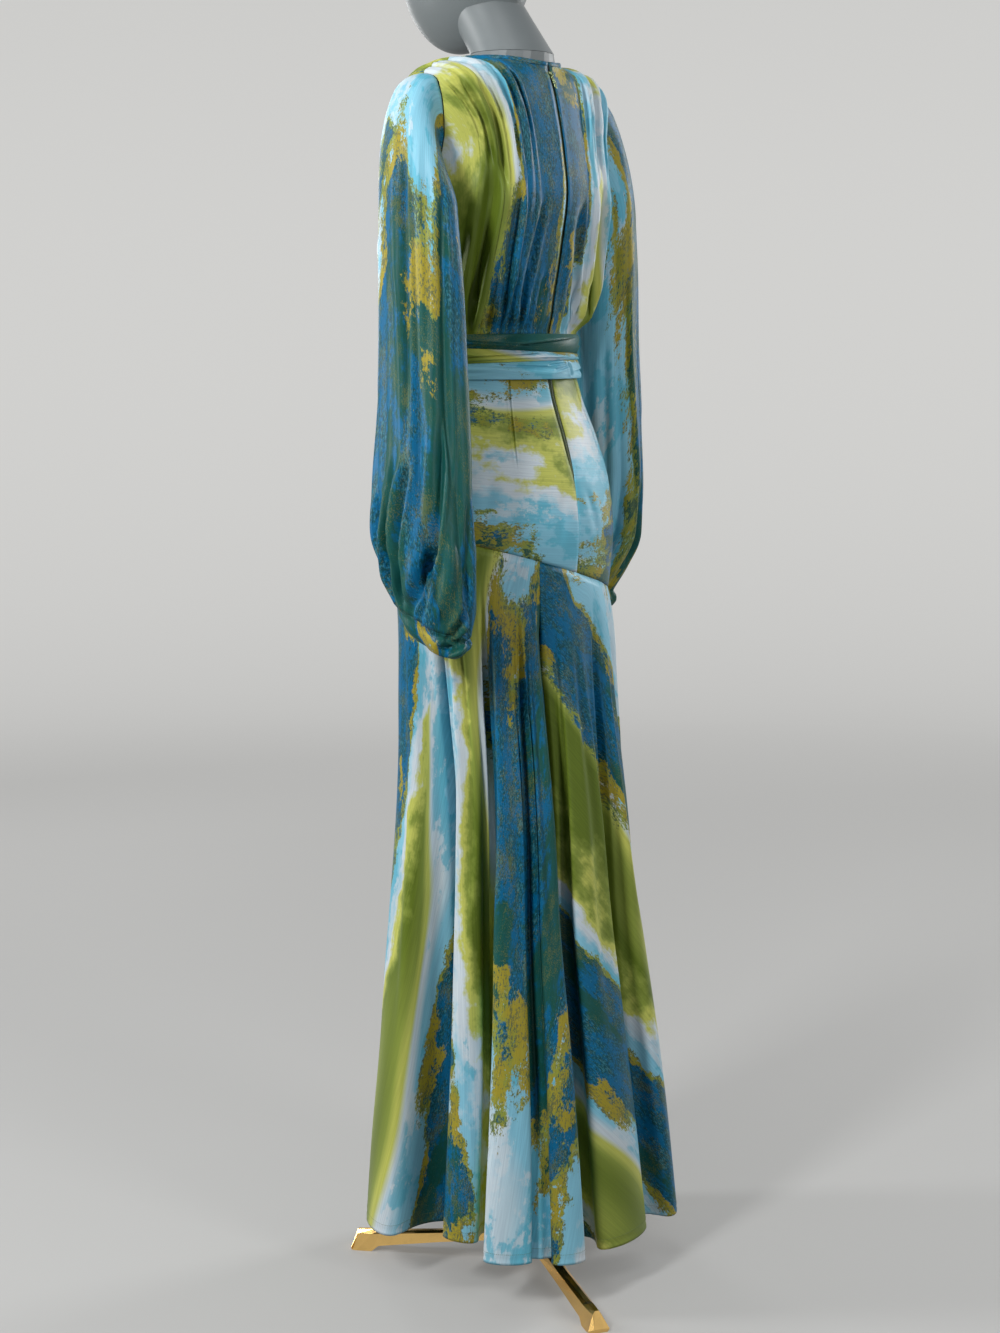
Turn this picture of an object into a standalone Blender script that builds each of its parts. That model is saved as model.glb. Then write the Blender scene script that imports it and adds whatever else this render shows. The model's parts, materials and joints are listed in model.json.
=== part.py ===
"""Long-sleeved evening gown on a limbless dress form, which stands on a brass tripod.

The front faces -Y, the wearer's left is +X and the floor is z = 0. Angles round the body are in degrees
from the centre back (+Y) towards the left side (+X), so the left side is 90 and the centre front is 180.
All sizes are in metres.
"""

import math
from collections import namedtuple

import bmesh
import bpy
import numpy as np
from mathutils import Matrix, Vector

# ---------------------------------------------------------------- driving dimensions
CLOTH = 0.0015  # wall of the single cloth pieces
PLEATED_CLOTH = 0.0018  # wall of the bodice, measured straight out from the form
SASH_CLOTH = 0.0025  # the sash is folded double
SEAM_GAP = 0.0005  # between two pieces that are sewn together
BODICE_ROOM = 0.0034  # least distance from the form to the outside of the bodice
YOKE_ROOM = 0.0040

WAIST_SEAM = 1.232  # height of the seam under the sash
NECK_SIDE = 1.5965  # height of the neckline at the side and the back of the neck
NECK_HALF = 0.062  # half the width of the neckline
FRONT_NECK_DROP = 0.058  # how much lower the neckline lies at the centre front
SHOULDER_TIP = 0.1570  # half the distance from armhole to armhole over the shoulders
BACK_WIDTH = 0.1530  # half the distance from armhole to armhole halfway down the armhole
SHOULDER_SPREAD = 0.22  # share by which the gathers spread from the upper back to the shoulder seam
UNDERARM = 1.432
UPPER_BACK = 1.47  # above this height the gathers spread towards the shoulder seam
NECK_COLUMN = 20.0  # waist angle of the pleat that ends at the neck side
TIP_COLUMN = 66.0  # waist angle of the pleat that ends at the shoulder tip
ZIP_TOP = 1.5870
ZIP_END = 1.0740
ZIP_SLIT = 0.0012  # from the centre back to each of the edges that the zip closes
SLIDER_HEIGHT = 1.5815

BODICE_LOW = (WAIST_SEAM, 1.259, 1.285)  # heights of the lowest rows of points

HIP_SEAM = 0.960  # mean height of the seam between yoke and skirt
HIP_SEAM_RISE = 0.046  # the seam is this much higher at HIP_SEAM_HIGH and lower opposite
HIP_SEAM_HIGH = 100.0
HEM = 0.064
HEM_RISE = 0.008
HEM_HIGH = 85.0
LEFT_SEAM = 101.0  # angles of two of the skirt's seams, each in a valley; the third is where FLUTES start
RIGHT_SEAM = 270.0
FAN = 25.0  # degrees by which the flutes draw together towards FAN_CENTRE on their way up
FAN_CENTRE = 27.0

HUB_Y = 0.055  # the stand stands a little behind the waist
LEG_ANGLES = (30.5, 150.5, 270.5)
POLE_RADIUS = 0.016
TORSO_BOTTOM = 0.935
FORM_LEVELS = (1.205, 1.262, 1.549)  # more levels where the form curves most

# ---------------------------------------------------------------- tables
Section = namedtuple("Section", "height half_width back front centre")
FORM = (
    Section(0.860, 0.148, 0.104, 0.094, 0.006),
    Section(0.930, 0.163, 0.118, 0.104, 0.006),
    Section(1.000, 0.168, 0.124, 0.108, 0.006),
    Section(1.060, 0.163, 0.120, 0.106, 0.004),
    Section(1.120, 0.149, 0.108, 0.100, -0.001),
    Section(1.180, 0.129, 0.093, 0.092, -0.007),
    Section(1.230, 0.119, 0.086, 0.089, -0.010),
    Section(1.300, 0.128, 0.086, 0.100, -0.009),
    Section(1.370, 0.143, 0.093, 0.118, -0.005),
    Section(1.430, 0.156, 0.099, 0.119, 0.000),
    Section(1.490, 0.164, 0.092, 0.103, 0.005),
    Section(1.535, 0.168, 0.080, 0.086, 0.009),
    Section(1.560, 0.165, 0.071, 0.073, 0.012),
    Section(1.575, 0.143, 0.064, 0.064, 0.014),
    Section(1.586, 0.098, 0.058, 0.058, 0.016),
    Section(1.594, 0.062, 0.055, 0.054, 0.018),
    Section(1.612, 0.055, 0.053, 0.053, 0.0205),
)
SKIRT = (  # the skirt's crests, with the depth of its flutes in SKIRT_FLUTE
    Section(0.064, 0.214, 0.204, 0.196, 0.035),
    Section(0.180, 0.205, 0.194, 0.186, 0.032),
    Section(0.300, 0.195, 0.182, 0.172, 0.029),
    Section(0.500, 0.178, 0.160, 0.150, 0.022),
    Section(0.620, 0.171, 0.150, 0.138, 0.020),
    Section(0.720, 0.168, 0.141, 0.128, 0.016),
    Section(0.800, 0.169, 0.134, 0.121, 0.012),
    Section(0.880, 0.172, 0.129, 0.115, 0.009),
    Section(0.950, 0.173, 0.127, 0.112, 0.006),
    Section(1.010, 0.172, 0.128, 0.112, 0.006),
)
FluteShare = namedtuple("FluteShare", "height share overhang")  # share of the flutes' depth at the hem
SKIRT_FLUTE = (
    FluteShare(0.064, 1.000, 0.20),
    FluteShare(0.180, 0.930, 0.19),
    FluteShare(0.300, 0.820, 0.17),
    FluteShare(0.500, 0.590, 0.13),
    FluteShare(0.700, 0.350, 0.08),
    FluteShare(0.860, 0.130, 0.03),
    FluteShare(0.935, 0.012, 0.00),
    FluteShare(1.010, 0.000, 0.00),
)
Flute = namedtuple("Flute", "start valley crest")  # at the hem: how far in its start and its middle lie
FLUTES = (
    Flute(20.0, 0.078, 0.000),
    Flute(40.0, 0.022, 0.006),
    Flute(68.0, 0.100, 0.060),
    Flute(101.0, 0.104, -0.006),
    Flute(160.0, 0.036, 0.000),
    Flute(188.0, 0.056, 0.010),
    Flute(214.0, 0.080, -0.004),
    Flute(244.0, 0.058, 0.008),
    Flute(270.0, 0.088, -0.002),
    Flute(304.0, 0.052, -0.010),
    Flute(327.0, 0.047, 0.022),
)
Ease = namedtuple("Ease", "column room")  # room between form and bodice, by angle from the centre line
BODICE_EASE = (
    Ease(0.0, 0.011),
    Ease(20.0, 0.015),
    Ease(42.0, 0.024),
    Ease(62.0, 0.020),
    Ease(80.0, 0.007),
    Ease(90.0, 0.004),
)
Blouse = namedtuple("Blouse", "height share pleat")  # share of that room, and depth of the pleats
BODICE_BLOUSE = (
    Blouse(1.232, 0.04, 0.0003),
    Blouse(1.258, 0.08, 0.0006),
    Blouse(1.284, 0.56, 0.0054),
    Blouse(1.340, 0.96, 0.0046),
    Blouse(1.430, 0.76, 0.0034),
    Blouse(1.510, 0.34, 0.0030),
    Blouse(1.600, 0.30, 0.0026),
)
Pleat = namedtuple("Pleat", "start depth")  # start: column where the pleat begins; depth: share
PLEATS = (
    Pleat(20.0, 0.50),
    Pleat(25.0, 1.15),
    Pleat(33.0, 0.60),
    Pleat(38.0, 1.30),
    Pleat(47.0, 0.55),
    Pleat(51.5, 1.20),
    Pleat(60.0, 0.80),
    Pleat(66.0, 0.50),
    Pleat(73.0, 0.30),
    Pleat(79.0, 0.00),
)
SleeveRing = namedtuple("SleeveRing", "height centre_x centre_y half_x half_y fold tilt")
LEFT_SLEEVE = (
    SleeveRing(1.405, 0.2010, 0.038, 0.0390, 0.0560, 0.0010, 0.00),
    SleeveRing(1.330, 0.2050, 0.045, 0.0410, 0.0600, 0.0024, 0.00),
    SleeveRing(1.240, 0.2090, 0.051, 0.0425, 0.0630, 0.0036, 0.00),
    SleeveRing(1.150, 0.2150, 0.057, 0.0430, 0.0680, 0.0046, 0.00),
    SleeveRing(1.060, 0.2230, 0.062, 0.0430, 0.0740, 0.0052, 0.05),
    SleeveRing(1.000, 0.2260, 0.065, 0.0430, 0.0760, 0.0056, 0.15),
    SleeveRing(0.950, 0.2240, 0.070, 0.0405, 0.0710, 0.0054, 0.32),
    SleeveRing(0.910, 0.2210, 0.0735, 0.0345, 0.0600, 0.0034, 0.42),
)
RIGHT_SLEEVE = (
    SleeveRing(1.405, 0.2010, 0.008, 0.0390, 0.0560, 0.0010, 0.00),
    SleeveRing(1.330, 0.2050, 0.006, 0.0410, 0.0600, 0.0024, 0.00),
    SleeveRing(1.240, 0.2090, 0.004, 0.0420, 0.0610, 0.0036, 0.00),
    SleeveRing(1.150, 0.2150, 0.003, 0.0430, 0.0640, 0.0046, 0.00),
    SleeveRing(1.060, 0.2220, 0.001, 0.0430, 0.0660, 0.0052, 0.00),
    SleeveRing(0.990, 0.2240, -0.003, 0.0420, 0.0640, 0.0056, 0.05),
    SleeveRing(0.945, 0.2210, -0.010, 0.0370, 0.0520, 0.0050, 0.10),
    SleeveRing(0.912, 0.2175, -0.017, 0.0300, 0.0390, 0.0034, 0.14),
)
SLEEVE_FOLDS = (0, 47, 101, 149, 196, 251, 304)  # where each fold round the sleeve starts, in degrees
HEAD_CLEAR = 0.0016  # more room between sleeve and bodice at the shoulder, where the seam turns over
SHOULDER_STEPS = (0, 0.25, 0.5, 0.75, 1)  # along the curve of the sleeve head
CUFF_CLOTH = 0.0020
CUFF_RIPPLE = 0.02
CuffCut = namedtuple("CuffCut", "fall narrow back")  # back: how far the ring's middle has moved back
CUFF = (
    CuffCut(0.000, 1.00, 0.000),
    CuffCut(0.005, 0.91, 0.001),
    CuffCut(0.011, 0.93, 0.004),
    CuffCut(0.019, 0.86, 0.008),
    CuffCut(0.026, 0.68, 0.011),
)
SashLine = namedtuple("SashLine", "height slope lean")  # an edge of a wrap, highest at the angle lean
SASH_LINES = (
    SashLine(1.1985, 0.0010, 200),
    SashLine(1.2185, 0.0030, 330),
    SashLine(1.2380, 0.0026, 130),
    SashLine(1.2570, 0.0012, 10),
)
SASH_BULGE = 0.0030
BINDING_LIFT = 0.0003
ZIP_SECTION = (  # (distance from the centre back, height over the tape's face) of the zip's section
    (-0.0070, 0.0),
    (-0.0008, 0.0),
    (-0.0008, 0.0012),
    (0.0008, 0.0012),
    (0.0008, 0.0),
    (0.0070, 0.0),
    (0.0070, -0.0008),
    (-0.0070, -0.0008),
)
PIN_RISE = 0.0034  # of the slider's pin over the cloth
PULL_LEAN = 6.0  # degrees that the pull tab leans from the slider onto the cloth
SASH_ROOM = 0.0064  # from the form to the inside of the sash
HEAD_CENTRE = (0.0, -0.055, 1.738)
HEAD_HALF = (0.074, 0.096, 0.118)
NeckRing = namedtuple("NeckRing", "height centre half_x half_y lean")
NECK = (
    NeckRing(1.6125, 0.0205, 0.0548, 0.0528, 0.00),
    NeckRing(1.6300, 0.0080, 0.0510, 0.0505, 0.08),
    NeckRing(1.6500, -0.0070, 0.0480, 0.0485, 0.16),
    NeckRing(1.6690, -0.0210, 0.0465, 0.0470, 0.22),
)

BLUE = (0.045, 0.27, 0.47, 1.0)
OLIVE = (0.27, 0.34, 0.07, 1.0)
AQUA = (0.40, 0.70, 0.80, 1.0)
GREY = (0.25, 0.27, 0.27, 1.0)
BRASS = (0.66, 0.45, 0.15, 1.0)
ZIP_GREEN = (0.13, 0.20, 0.07, 1.0)


# ---------------------------------------------------------------- curves and surfaces
def smooth_through(knots, values):
    """A function that passes smoothly through the values and never overshoots between them."""
    x, y = np.array(knots, float), np.array(values, float)
    step = np.diff(x)
    slope = np.diff(y) / step
    tangent = np.concatenate([slope[:1], np.zeros(len(slope) - 1), slope[-1:]])
    for i in range(1, len(slope)):
        before, after = slope[i - 1], slope[i]
        if before * after > 0:
            tangent[i] = 2 * before * after / (before + after)

    def at(where):
        where = np.clip(np.asarray(where, float), x[0], x[-1])
        i = np.clip(np.searchsorted(x, where) - 1, 0, len(step) - 1)
        u = (where - x[i]) / step[i]
        ends = (1 + 2 * u) * (1 - u) ** 2 * y[i] + u * u * (3 - 2 * u) * y[i + 1]
        pulls = u * (1 - u) ** 2 * tangent[i] + u * u * (u - 1) * tangent[i + 1]
        return ends + pulls * step[i]

    return at


def column_of(table, knot, value):
    """The named column of a table as a smooth function of its knot column."""
    rows = sorted(table, key=lambda row: getattr(row, knot))
    return smooth_through([getattr(row, knot) for row in rows], [getattr(row, value) for row in rows])


class Body:
    """A body of oval cross-sections, taken from a table of Section rows."""

    def __init__(self, table):
        self.half_width = column_of(table, "height", "half_width")
        self.back = column_of(table, "height", "back")
        self.front = column_of(table, "height", "front")
        self.centre = column_of(table, "height", "centre")

    def point(self, angle, height, out=0.0):
        """The point at an angle and height, moved outwards along the surface's normal."""
        turn = np.radians(angle)
        behind = np.cos(turn) >= 0
        nudge = 1e-4

        def sizes(at):
            return self.half_width(at), np.where(behind, self.back(at), self.front(at)), self.centre(at)

        a, b, c = sizes(height)
        a_up, b_up, c_up = (up - low for up, low in zip(sizes(height + nudge), sizes(height - nudge)))
        x, y = a * np.sin(turn), b * np.cos(turn)
        steep = x * x * a_up / a**3 + y * y * b_up / b**3 + y * c_up / b**2
        normal = np.stack([x / a**2, y / b**2, -steep / (2 * nudge)], -1)
        normal /= np.linalg.norm(normal, axis=-1, keepdims=True)
        spot = np.stack([x, y + c, np.broadcast_to(height, np.shape(x))], -1)
        return spot + normal * np.asarray(out)[..., None]


form = Body(FORM)
skirt_line = Body(SKIRT)
flute_share = column_of(SKIRT_FLUTE, "height", "share")
flute_overhang = column_of(SKIRT_FLUTE, "height", "overhang")
bodice_room = column_of(BODICE_EASE, "column", "room")
blouse_share = column_of(BODICE_BLOUSE, "height", "share")
pleat_depth = column_of(BODICE_BLOUSE, "height", "pleat")


def wave(place, starts, sizes):
    """(size of the wave that place lies in, its share from one valley to the next)."""
    place = np.asarray(place, float)
    starts = np.array(starts, float)
    which = np.clip(np.searchsorted(starts, place, side="right") - 1, 0, len(starts) - 2)
    share = (place - starts[which]) / (starts[which + 1] - starts[which])
    return np.array(sizes, float)[which], share


# ---------------------------------------------------------------- bodice
def ridge_height(half_width):
    """Height of the shoulder line at a distance from the centre."""
    heights = np.linspace(1.5375, 1.5955, 400)  # above the widest part of the shoulders
    return np.interp(-half_width, -form.half_width(heights), heights)


def armhole(share):
    """(distance from the centre, height) on the armhole, from the shoulder tip (0) to the underarm (1)."""
    top = float(ridge_height(SHOULDER_TIP))
    side = float(form.half_width(UNDERARM))
    width = SHOULDER_TIP + (BACK_WIDTH - SHOULDER_TIP) * min(1.0, 2 * share) ** 2
    width += (side - BACK_WIDTH) * max(0.0, 2 * share - 1) ** 1.7
    return width, (top + UNDERARM) / 2 + (top - UNDERARM) / 2 * math.cos(math.pi * share)


def bodice_top(column, in_front):
    """(distance from the centre, height) where a column of the bodice ends at its top edge."""
    if column <= NECK_COLUMN:
        turn = math.radians(90 * column / NECK_COLUMN)
        drop = FRONT_NECK_DROP if in_front else 0.0
        return NECK_HALF * math.sin(turn), NECK_SIDE - 0.0030 - drop * math.cos(turn) ** 1.6
    if column <= TIP_COLUMN:
        share = (column - NECK_COLUMN) / (TIP_COLUMN - NECK_COLUMN)
        half = NECK_HALF + (SHOULDER_TIP - NECK_HALF) * share
        return half, float(ridge_height(half))
    return armhole((column - TIP_COLUMN) / (90 - TIP_COLUMN))


def bodice_heights(top, rows):
    """Heights up a column: the waist, the tight part under the sash, then closer and closer to the top."""
    rest = np.linspace(1, 0, rows - len(BODICE_LOW) + 1)[1:] ** 2
    return np.concatenate([BODICE_LOW, top - (top - BODICE_LOW[-1]) * rest])


def bodice_column(column, in_front, depth=0.0, rows=9):
    """Points up one column of the left half, from its angle at the waist to its place at the top edge."""
    top_x, top = bodice_top(column, in_front)
    height = bodice_heights(top, rows)
    join = min(UPPER_BACK, top)
    at_waist = math.sin(math.radians(column))
    spread = (top - UPPER_BACK) / (float(ridge_height(SHOULDER_TIP)) - UPPER_BACK)
    join_x = top_x * (1 - SHOULDER_SPREAD * min(1.0, max(0.0, spread)))
    at_join = min(1.0, join_x / float(form.half_width(join)))
    blend = np.clip((height - WAIST_SEAM) / (join - WAIST_SEAM), 0, 1)
    blend = blend * blend * (3 - 2 * blend)
    lower = at_waist + (at_join - at_waist) * blend
    climb = np.clip((height - join) / max(top - join, 1e-6), 0, 1) ** 2.2
    upper = (join_x + (top_x - join_x) * climb) / form.half_width(height)
    share = np.where(height <= join, lower, upper)
    angle = np.degrees(np.arcsin(np.clip(share, 0, 1)))
    size, phase = wave(column, [p.start for p in PLEATS], [p.depth for p in PLEATS])
    inside = PLEATS[0].start <= column <= PLEATS[-1].start
    pleat = size * (1 - math.cos(2 * math.pi * phase)) / 2 if inside else 0.0
    flat_edge = 0.0 if column > TIP_COLUMN else 0.25
    fade = np.clip((top - height) / 0.05, flat_edge, 1)
    out = BODICE_ROOM + bodice_room(column) * blouse_share(height) + pleat * pleat_depth(height) * fade
    return form.point(180 - angle if in_front else angle, height, out - depth)


def pleated_columns(smooth=5, side=4, per_pleat=3):
    """Columns of half a bodice: a few over the smooth middle, several to each pleat, a few at the side."""
    columns = list(np.linspace(0, PLEATS[0].start, smooth, endpoint=False))
    for first, last in zip(PLEATS, PLEATS[1:]):
        columns += list(np.linspace(first.start, last.start, per_pleat, endpoint=False))
    return columns + list(np.linspace(PLEATS[-1].start, 90, side))


def bodice_grid(depth=0.0):
    """The whole bodice, rows from the waist up, columns once round from the centre back to the left."""
    columns = pleated_columns()
    back = np.stack([bodice_column(c, False, depth) for c in columns], 1)
    front = np.stack([bodice_column(c, True, depth) for c in columns], 1)
    left = np.concatenate([back, front[:, ::-1][:, 1:]], 1)
    return np.concatenate([left, mirrored(left)[:, 1:-1]], 1)


def mirrored(grid):
    """The same grid on the other side of the body, its columns in the opposite order."""
    return grid[:, ::-1] * np.array([-1, 1, 1])


# ---------------------------------------------------------------- skirt
def hip_seam(angle):
    return HIP_SEAM + HIP_SEAM_RISE * np.cos(np.radians(angle - HIP_SEAM_HIGH))


def hem(angle):
    return HEM + HEM_RISE * np.cos(np.radians(angle - HEM_HIGH))


def yoke_out(share):
    """How far the yoke's outside lies from the form, from the hip seam (0) to the waist (1)."""
    return YOKE_ROOM - 0.0006 * share


def yoke_grid(rows, columns):
    """The whole yoke, rows from the hip seam up to the waist seam."""
    angle = np.linspace(0, 360, columns, endpoint=False)
    angle, share = np.meshgrid(angle, np.linspace(0, 1, rows))
    low = hip_seam(angle)
    return form.point(angle, low + (WAIST_SEAM - low) * share, yoke_out(share))


def fanned(angle, climb):
    """The angle at which a column of the skirt lies on its way up, from the hem (0) to the top (1)."""
    return angle - FAN * climb * np.sin(np.radians(angle - FAN_CENTRE))


def skirt_point(angle, share):
    """A point of the skirt, from the hip seam (share 0) to the hem (share 1)."""
    top = fanned(angle, 1)
    low, high = hem(angle), hip_seam(top)
    height = high + (low - high) * share
    starts = [flute.start for flute in FLUTES] + [FLUTES[0].start + 360]
    crest, phase = wave(angle, starts, [flute.crest for flute in FLUTES] + [0.0])
    valley = np.interp(angle, starts, [flute.valley for flute in FLUTES] + [FLUTES[0].valley])
    turn = 2 * np.pi * phase
    inwards = flute_share(height) * (valley + (crest - valley) * (1 - np.cos(turn)) / 2)
    width, _ = wave(angle, starts, list(np.diff(starts)) + [0.0])
    swing = flute_overhang(height) * width / 2 * (np.sin(2 * turn) - 0.35 * np.sin(turn))
    hung = skirt_line.point(fanned(angle, 1 - share) + swing, height)
    ray = hung - np.stack([np.zeros_like(height), skirt_line.centre(height), height], -1)
    ray[..., 2] = 0
    ray /= np.linalg.norm(ray, axis=-1, keepdims=True)
    fit = np.clip((height - high + 0.10) / 0.10, 0, 1) ** 2
    to_seam = form.point(top, high, yoke_out(0)) - skirt_line.point(top, high)
    return hung - ray * inwards[..., None] + to_seam * fit[..., None]


def skirt_angles():
    """The angles of the skirt's columns at the hem: eight or more to a flute."""
    starts = [flute.start for flute in FLUTES] + [FLUTES[0].start + 360]
    steps = [max(8, round((b - a) / 4.5)) for a, b in zip(starts, starts[1:])]
    flutes = [np.linspace(a, b, n, endpoint=False) for a, b, n in zip(starts, starts[1:], steps)]
    return np.concatenate(flutes)


def skirt_grid(rows):
    """The whole skirt, rows from the hem up, columns once round from the back seam."""
    angle, share = np.meshgrid(skirt_angles(), np.linspace(1, 0, rows) ** 0.9)
    return skirt_point(angle, share)


# ---------------------------------------------------------------- sleeves, cuffs and sash
def armhole_turns():
    """(columns of the bodice that end at the armhole, turns round the sleeve that belong to them)."""
    columns = [c for c in pleated_columns() if c >= TIP_COLUMN - 1e-9]
    return columns, [180 * (c - TIP_COLUMN) / (90 - TIP_COLUMN) for c in columns]


def sleeve_turns():
    """Turns round the sleeve: 0 is the shoulder, 180 the underarm, and every bodice column has its own."""
    knots = armhole_turns()[1]
    half = []
    for low, high in zip(knots, knots[1:]):
        half += [low, (low + high) / 2] if high - low > 20 else [low]
    return np.array(half + [180.0] + [360 - turn for turn in half[::-1][:-1]])


def armhole_edge(psi):
    """Points just beyond the bodice's edge round the left armhole."""
    columns, half = armhole_turns()
    behind = [bodice_column(c, False)[-1] for c in columns]
    ahead = [bodice_column(c, True)[-1] for c in columns[::-1]]
    edge = np.array(behind + ahead[1:-1])
    knots = half + [360 - turn for turn in half[::-1][1:-1]]
    along = np.roll(edge, -1, 0) - np.roll(edge, 1, 0)
    middle = form.centre(edge[:, 2])
    out = np.stack([edge[:, 0] / 0.15**2, (edge[:, 1] - middle) / 0.09**2, 0 * middle], -1)
    out[:, 2] = np.clip((edge[:, 2] - 1.50) / 0.05, 0, 2) * np.linalg.norm(out, axis=1)
    away = np.cross(along, out)
    away /= np.linalg.norm(away, axis=1, keepdims=True)
    edge = edge + away * SEAM_GAP
    return np.stack([np.interp(psi, knots + [360], list(edge[:, i]) + [edge[0, i]]) for i in range(3)], -1)


def sleeve_rings(table):
    """Rings of a left sleeve from the armhole down, each running outer side, back, inner side, front."""
    psi = sleeve_turns()
    seam = armhole_edge(psi)
    seam[:, 0] += HEAD_CLEAR * np.sin(np.radians(psi / 2 + 90)) ** 2
    hang = hanging_ring(table[0], psi)
    leave, arrive = seam.copy(), hang.copy()
    leave[:, 0] += 0.006 + 0.5 * (hang[:, 0] - seam[:, 0])
    arrive[:, 2] += 0.5 * (seam[:, 2] - hang[:, 2])
    rings = []
    for t in SHOULDER_STEPS:
        near = (1 - t) ** 3 * seam + 3 * t * (1 - t) ** 2 * leave
        rings.append(near + 3 * t * t * (1 - t) * arrive + t**3 * hang)
    return np.array(rings + [hanging_ring(row, psi) for row in table[1:]])


def hanging_ring(row, psi):
    """One ring of the hanging sleeve, folded in along its length and tilted towards the back."""
    turn = np.radians(psi)
    size, phase = wave(psi, list(SLEEVE_FOLDS) + [360], [1, 0.7, 1.1, 0.6, 0.9, 1.2, 0.8, 1])
    fold = row.fold * size * (np.cos(2 * np.pi * phase) - 1) / 2 * 2
    x = row.centre_x + (row.half_x + fold) * np.cos(turn)
    y = row.centre_y + (row.half_y + fold) * np.sin(turn)
    return np.stack([x, y, row.height - row.tilt * (y - row.centre_y)], -1)


def cuff_rings(last):
    """A cuff sewn to the sleeve's last ring: drawn in, then full, then drawn in again at the hand."""
    psi = sleeve_turns()
    top = hanging_ring(last, psi)
    middle = np.array([last.centre_x, last.centre_y])
    rings = []
    for cut in CUFF:
        ripple = 1 + CUFF_RIPPLE * np.cos(np.radians(psi * 5 + 4000 * cut.fall)) * (cut.fall > 0)
        ring = top.copy()
        ring[:, :2] = middle + (0, cut.back) + (top[:, :2] - middle) * (cut.narrow * ripple)[:, None]
        ring[:, 2] -= cut.fall
        rings.append(ring)
    return np.array(rings)


def sash_line(line, angle):
    """Height of the line between two wraps of the sash."""
    return line.height + line.slope * np.cos(np.radians(angle - line.lean))


def sash_grid(lower, upper, around, rows):
    """One wrap of the sash between two lines, a little fuller at its middle."""
    angle, share = np.meshgrid(np.linspace(0, 360, around, endpoint=False), np.linspace(0, 1, rows))
    low = sash_line(lower, angle)
    height = low + (sash_line(upper, angle) - low) * share
    bulge = SASH_BULGE * np.sin(np.pi * share)
    return form.point(angle, height, SASH_ROOM + SASH_CLOTH + bulge)


# ---------------------------------------------------------------- making objects
def fresh_scene():
    for obj in list(bpy.data.objects):
        bpy.data.objects.remove(obj)


def finish_material(name, colour, roughness, metallic=0.0):
    material = bpy.data.materials.new(name)
    material.use_nodes = True
    shader = material.node_tree.nodes["Principled BSDF"]
    shader.inputs["Base Color"].default_value = colour
    shader.inputs["Roughness"].default_value = roughness
    shader.inputs["Metallic"].default_value = metallic
    material.diffuse_color = colour
    return material


def place(name, mesh, material, smooth=True):
    """An object of the model, parented to its origin."""
    obj = bpy.data.objects.new(name, mesh)
    mesh.materials.append(material)
    parts.objects.link(obj)
    obj.parent = origin
    if smooth:
        mesh.shade_smooth()
    return obj


def facing(grid, closed):
    """The outward direction at each point of a grid whose columns may close on themselves."""
    up = np.gradient(grid, axis=0)
    if closed:
        along = np.roll(grid, -1, 1) - np.roll(grid, 1, 1)
    else:
        along = np.gradient(grid, axis=1)
    out = np.cross(up, along)
    return out / np.linalg.norm(out, axis=-1, keepdims=True)


def edge_moves(grid, closed, side_gaps):
    """How far each point moves so that the piece's edges leave room for the seams."""
    moves = np.zeros_like(grid)
    for edge, next_to in ((0, 1), (-1, -2)):
        inward = grid[next_to] - grid[edge]
        moves[edge] += inward / np.linalg.norm(inward, axis=-1, keepdims=True) * SEAM_GAP / 2
        if not closed:
            inward = grid[:, next_to] - grid[:, edge]
            room = np.broadcast_to(side_gaps[edge], len(grid))[:, None]
            moves[:, edge] += inward / np.linalg.norm(inward, axis=-1, keepdims=True) * room
    return moves


def wall(name, outside, outward, material, closed=False, thickness=CLOTH, flip=False):
    """A closed piece of cloth between an outside grid and the same grid moved inwards."""
    mesh = bmesh.new()
    outer = [[mesh.verts.new(point) for point in row] for row in outside]
    inner = [[mesh.verts.new(point) for point in row] for row in outside - outward * thickness]
    rows, columns = outside.shape[:2]

    def face(*corners):
        mesh.faces.new(corners[::-1] if flip else corners)

    for j in range(columns if closed else columns - 1):
        k = (j + 1) % columns
        for i in range(rows - 1):
            corners = ((i, j), (i + 1, j), (i + 1, k), (i, k))
            rising = np.linalg.norm(outside[i + 1, k] - outside[i, j])
            falling = np.linalg.norm(outside[i + 1, j] - outside[i, k])
            halves = ((0, 1, 2), (0, 2, 3)) if rising < falling else ((0, 1, 3), (1, 2, 3))
            for half in halves:
                face(*(outer[corners[n][0]][corners[n][1]] for n in half))
                face(*(inner[corners[n][0]][corners[n][1]] for n in half[::-1]))
        face(outer[0][j], outer[0][k], inner[0][k], inner[0][j])
        face(outer[-1][k], outer[-1][j], inner[-1][j], inner[-1][k])
    if not closed:
        for i in range(rows - 1):
            face(outer[i + 1][0], outer[i][0], inner[i][0], inner[i + 1][0])
            face(outer[i][-1], outer[i + 1][-1], inner[i + 1][-1], inner[i][-1])
    data = bpy.data.meshes.new(name)
    mesh.to_mesh(data)
    mesh.free()
    obj = place(name, data, material)
    data.set_sharp_from_angle(angle=math.radians(60))
    return obj


def tube(name, rings, material, outward, thickness=CLOTH, flip=False):
    """A closed band of cloth through rings of points, its two edges drawn in for the seams."""
    moves = edge_moves(rings, True, None)
    return wall(name, rings + moves, outward, material, True, thickness, flip)


def panels(grid, outward, cuts, material, thickness=CLOTH):
    """Cuts a closed grid into panels: each cut is a name, its columns and the room left at its sides."""
    for name, columns, side_gaps in cuts:
        piece = grid[:, columns]
        moves = edge_moves(piece, False, side_gaps)
        wall(name, piece + moves, outward[:, columns], material, thickness=thickness)


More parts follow.
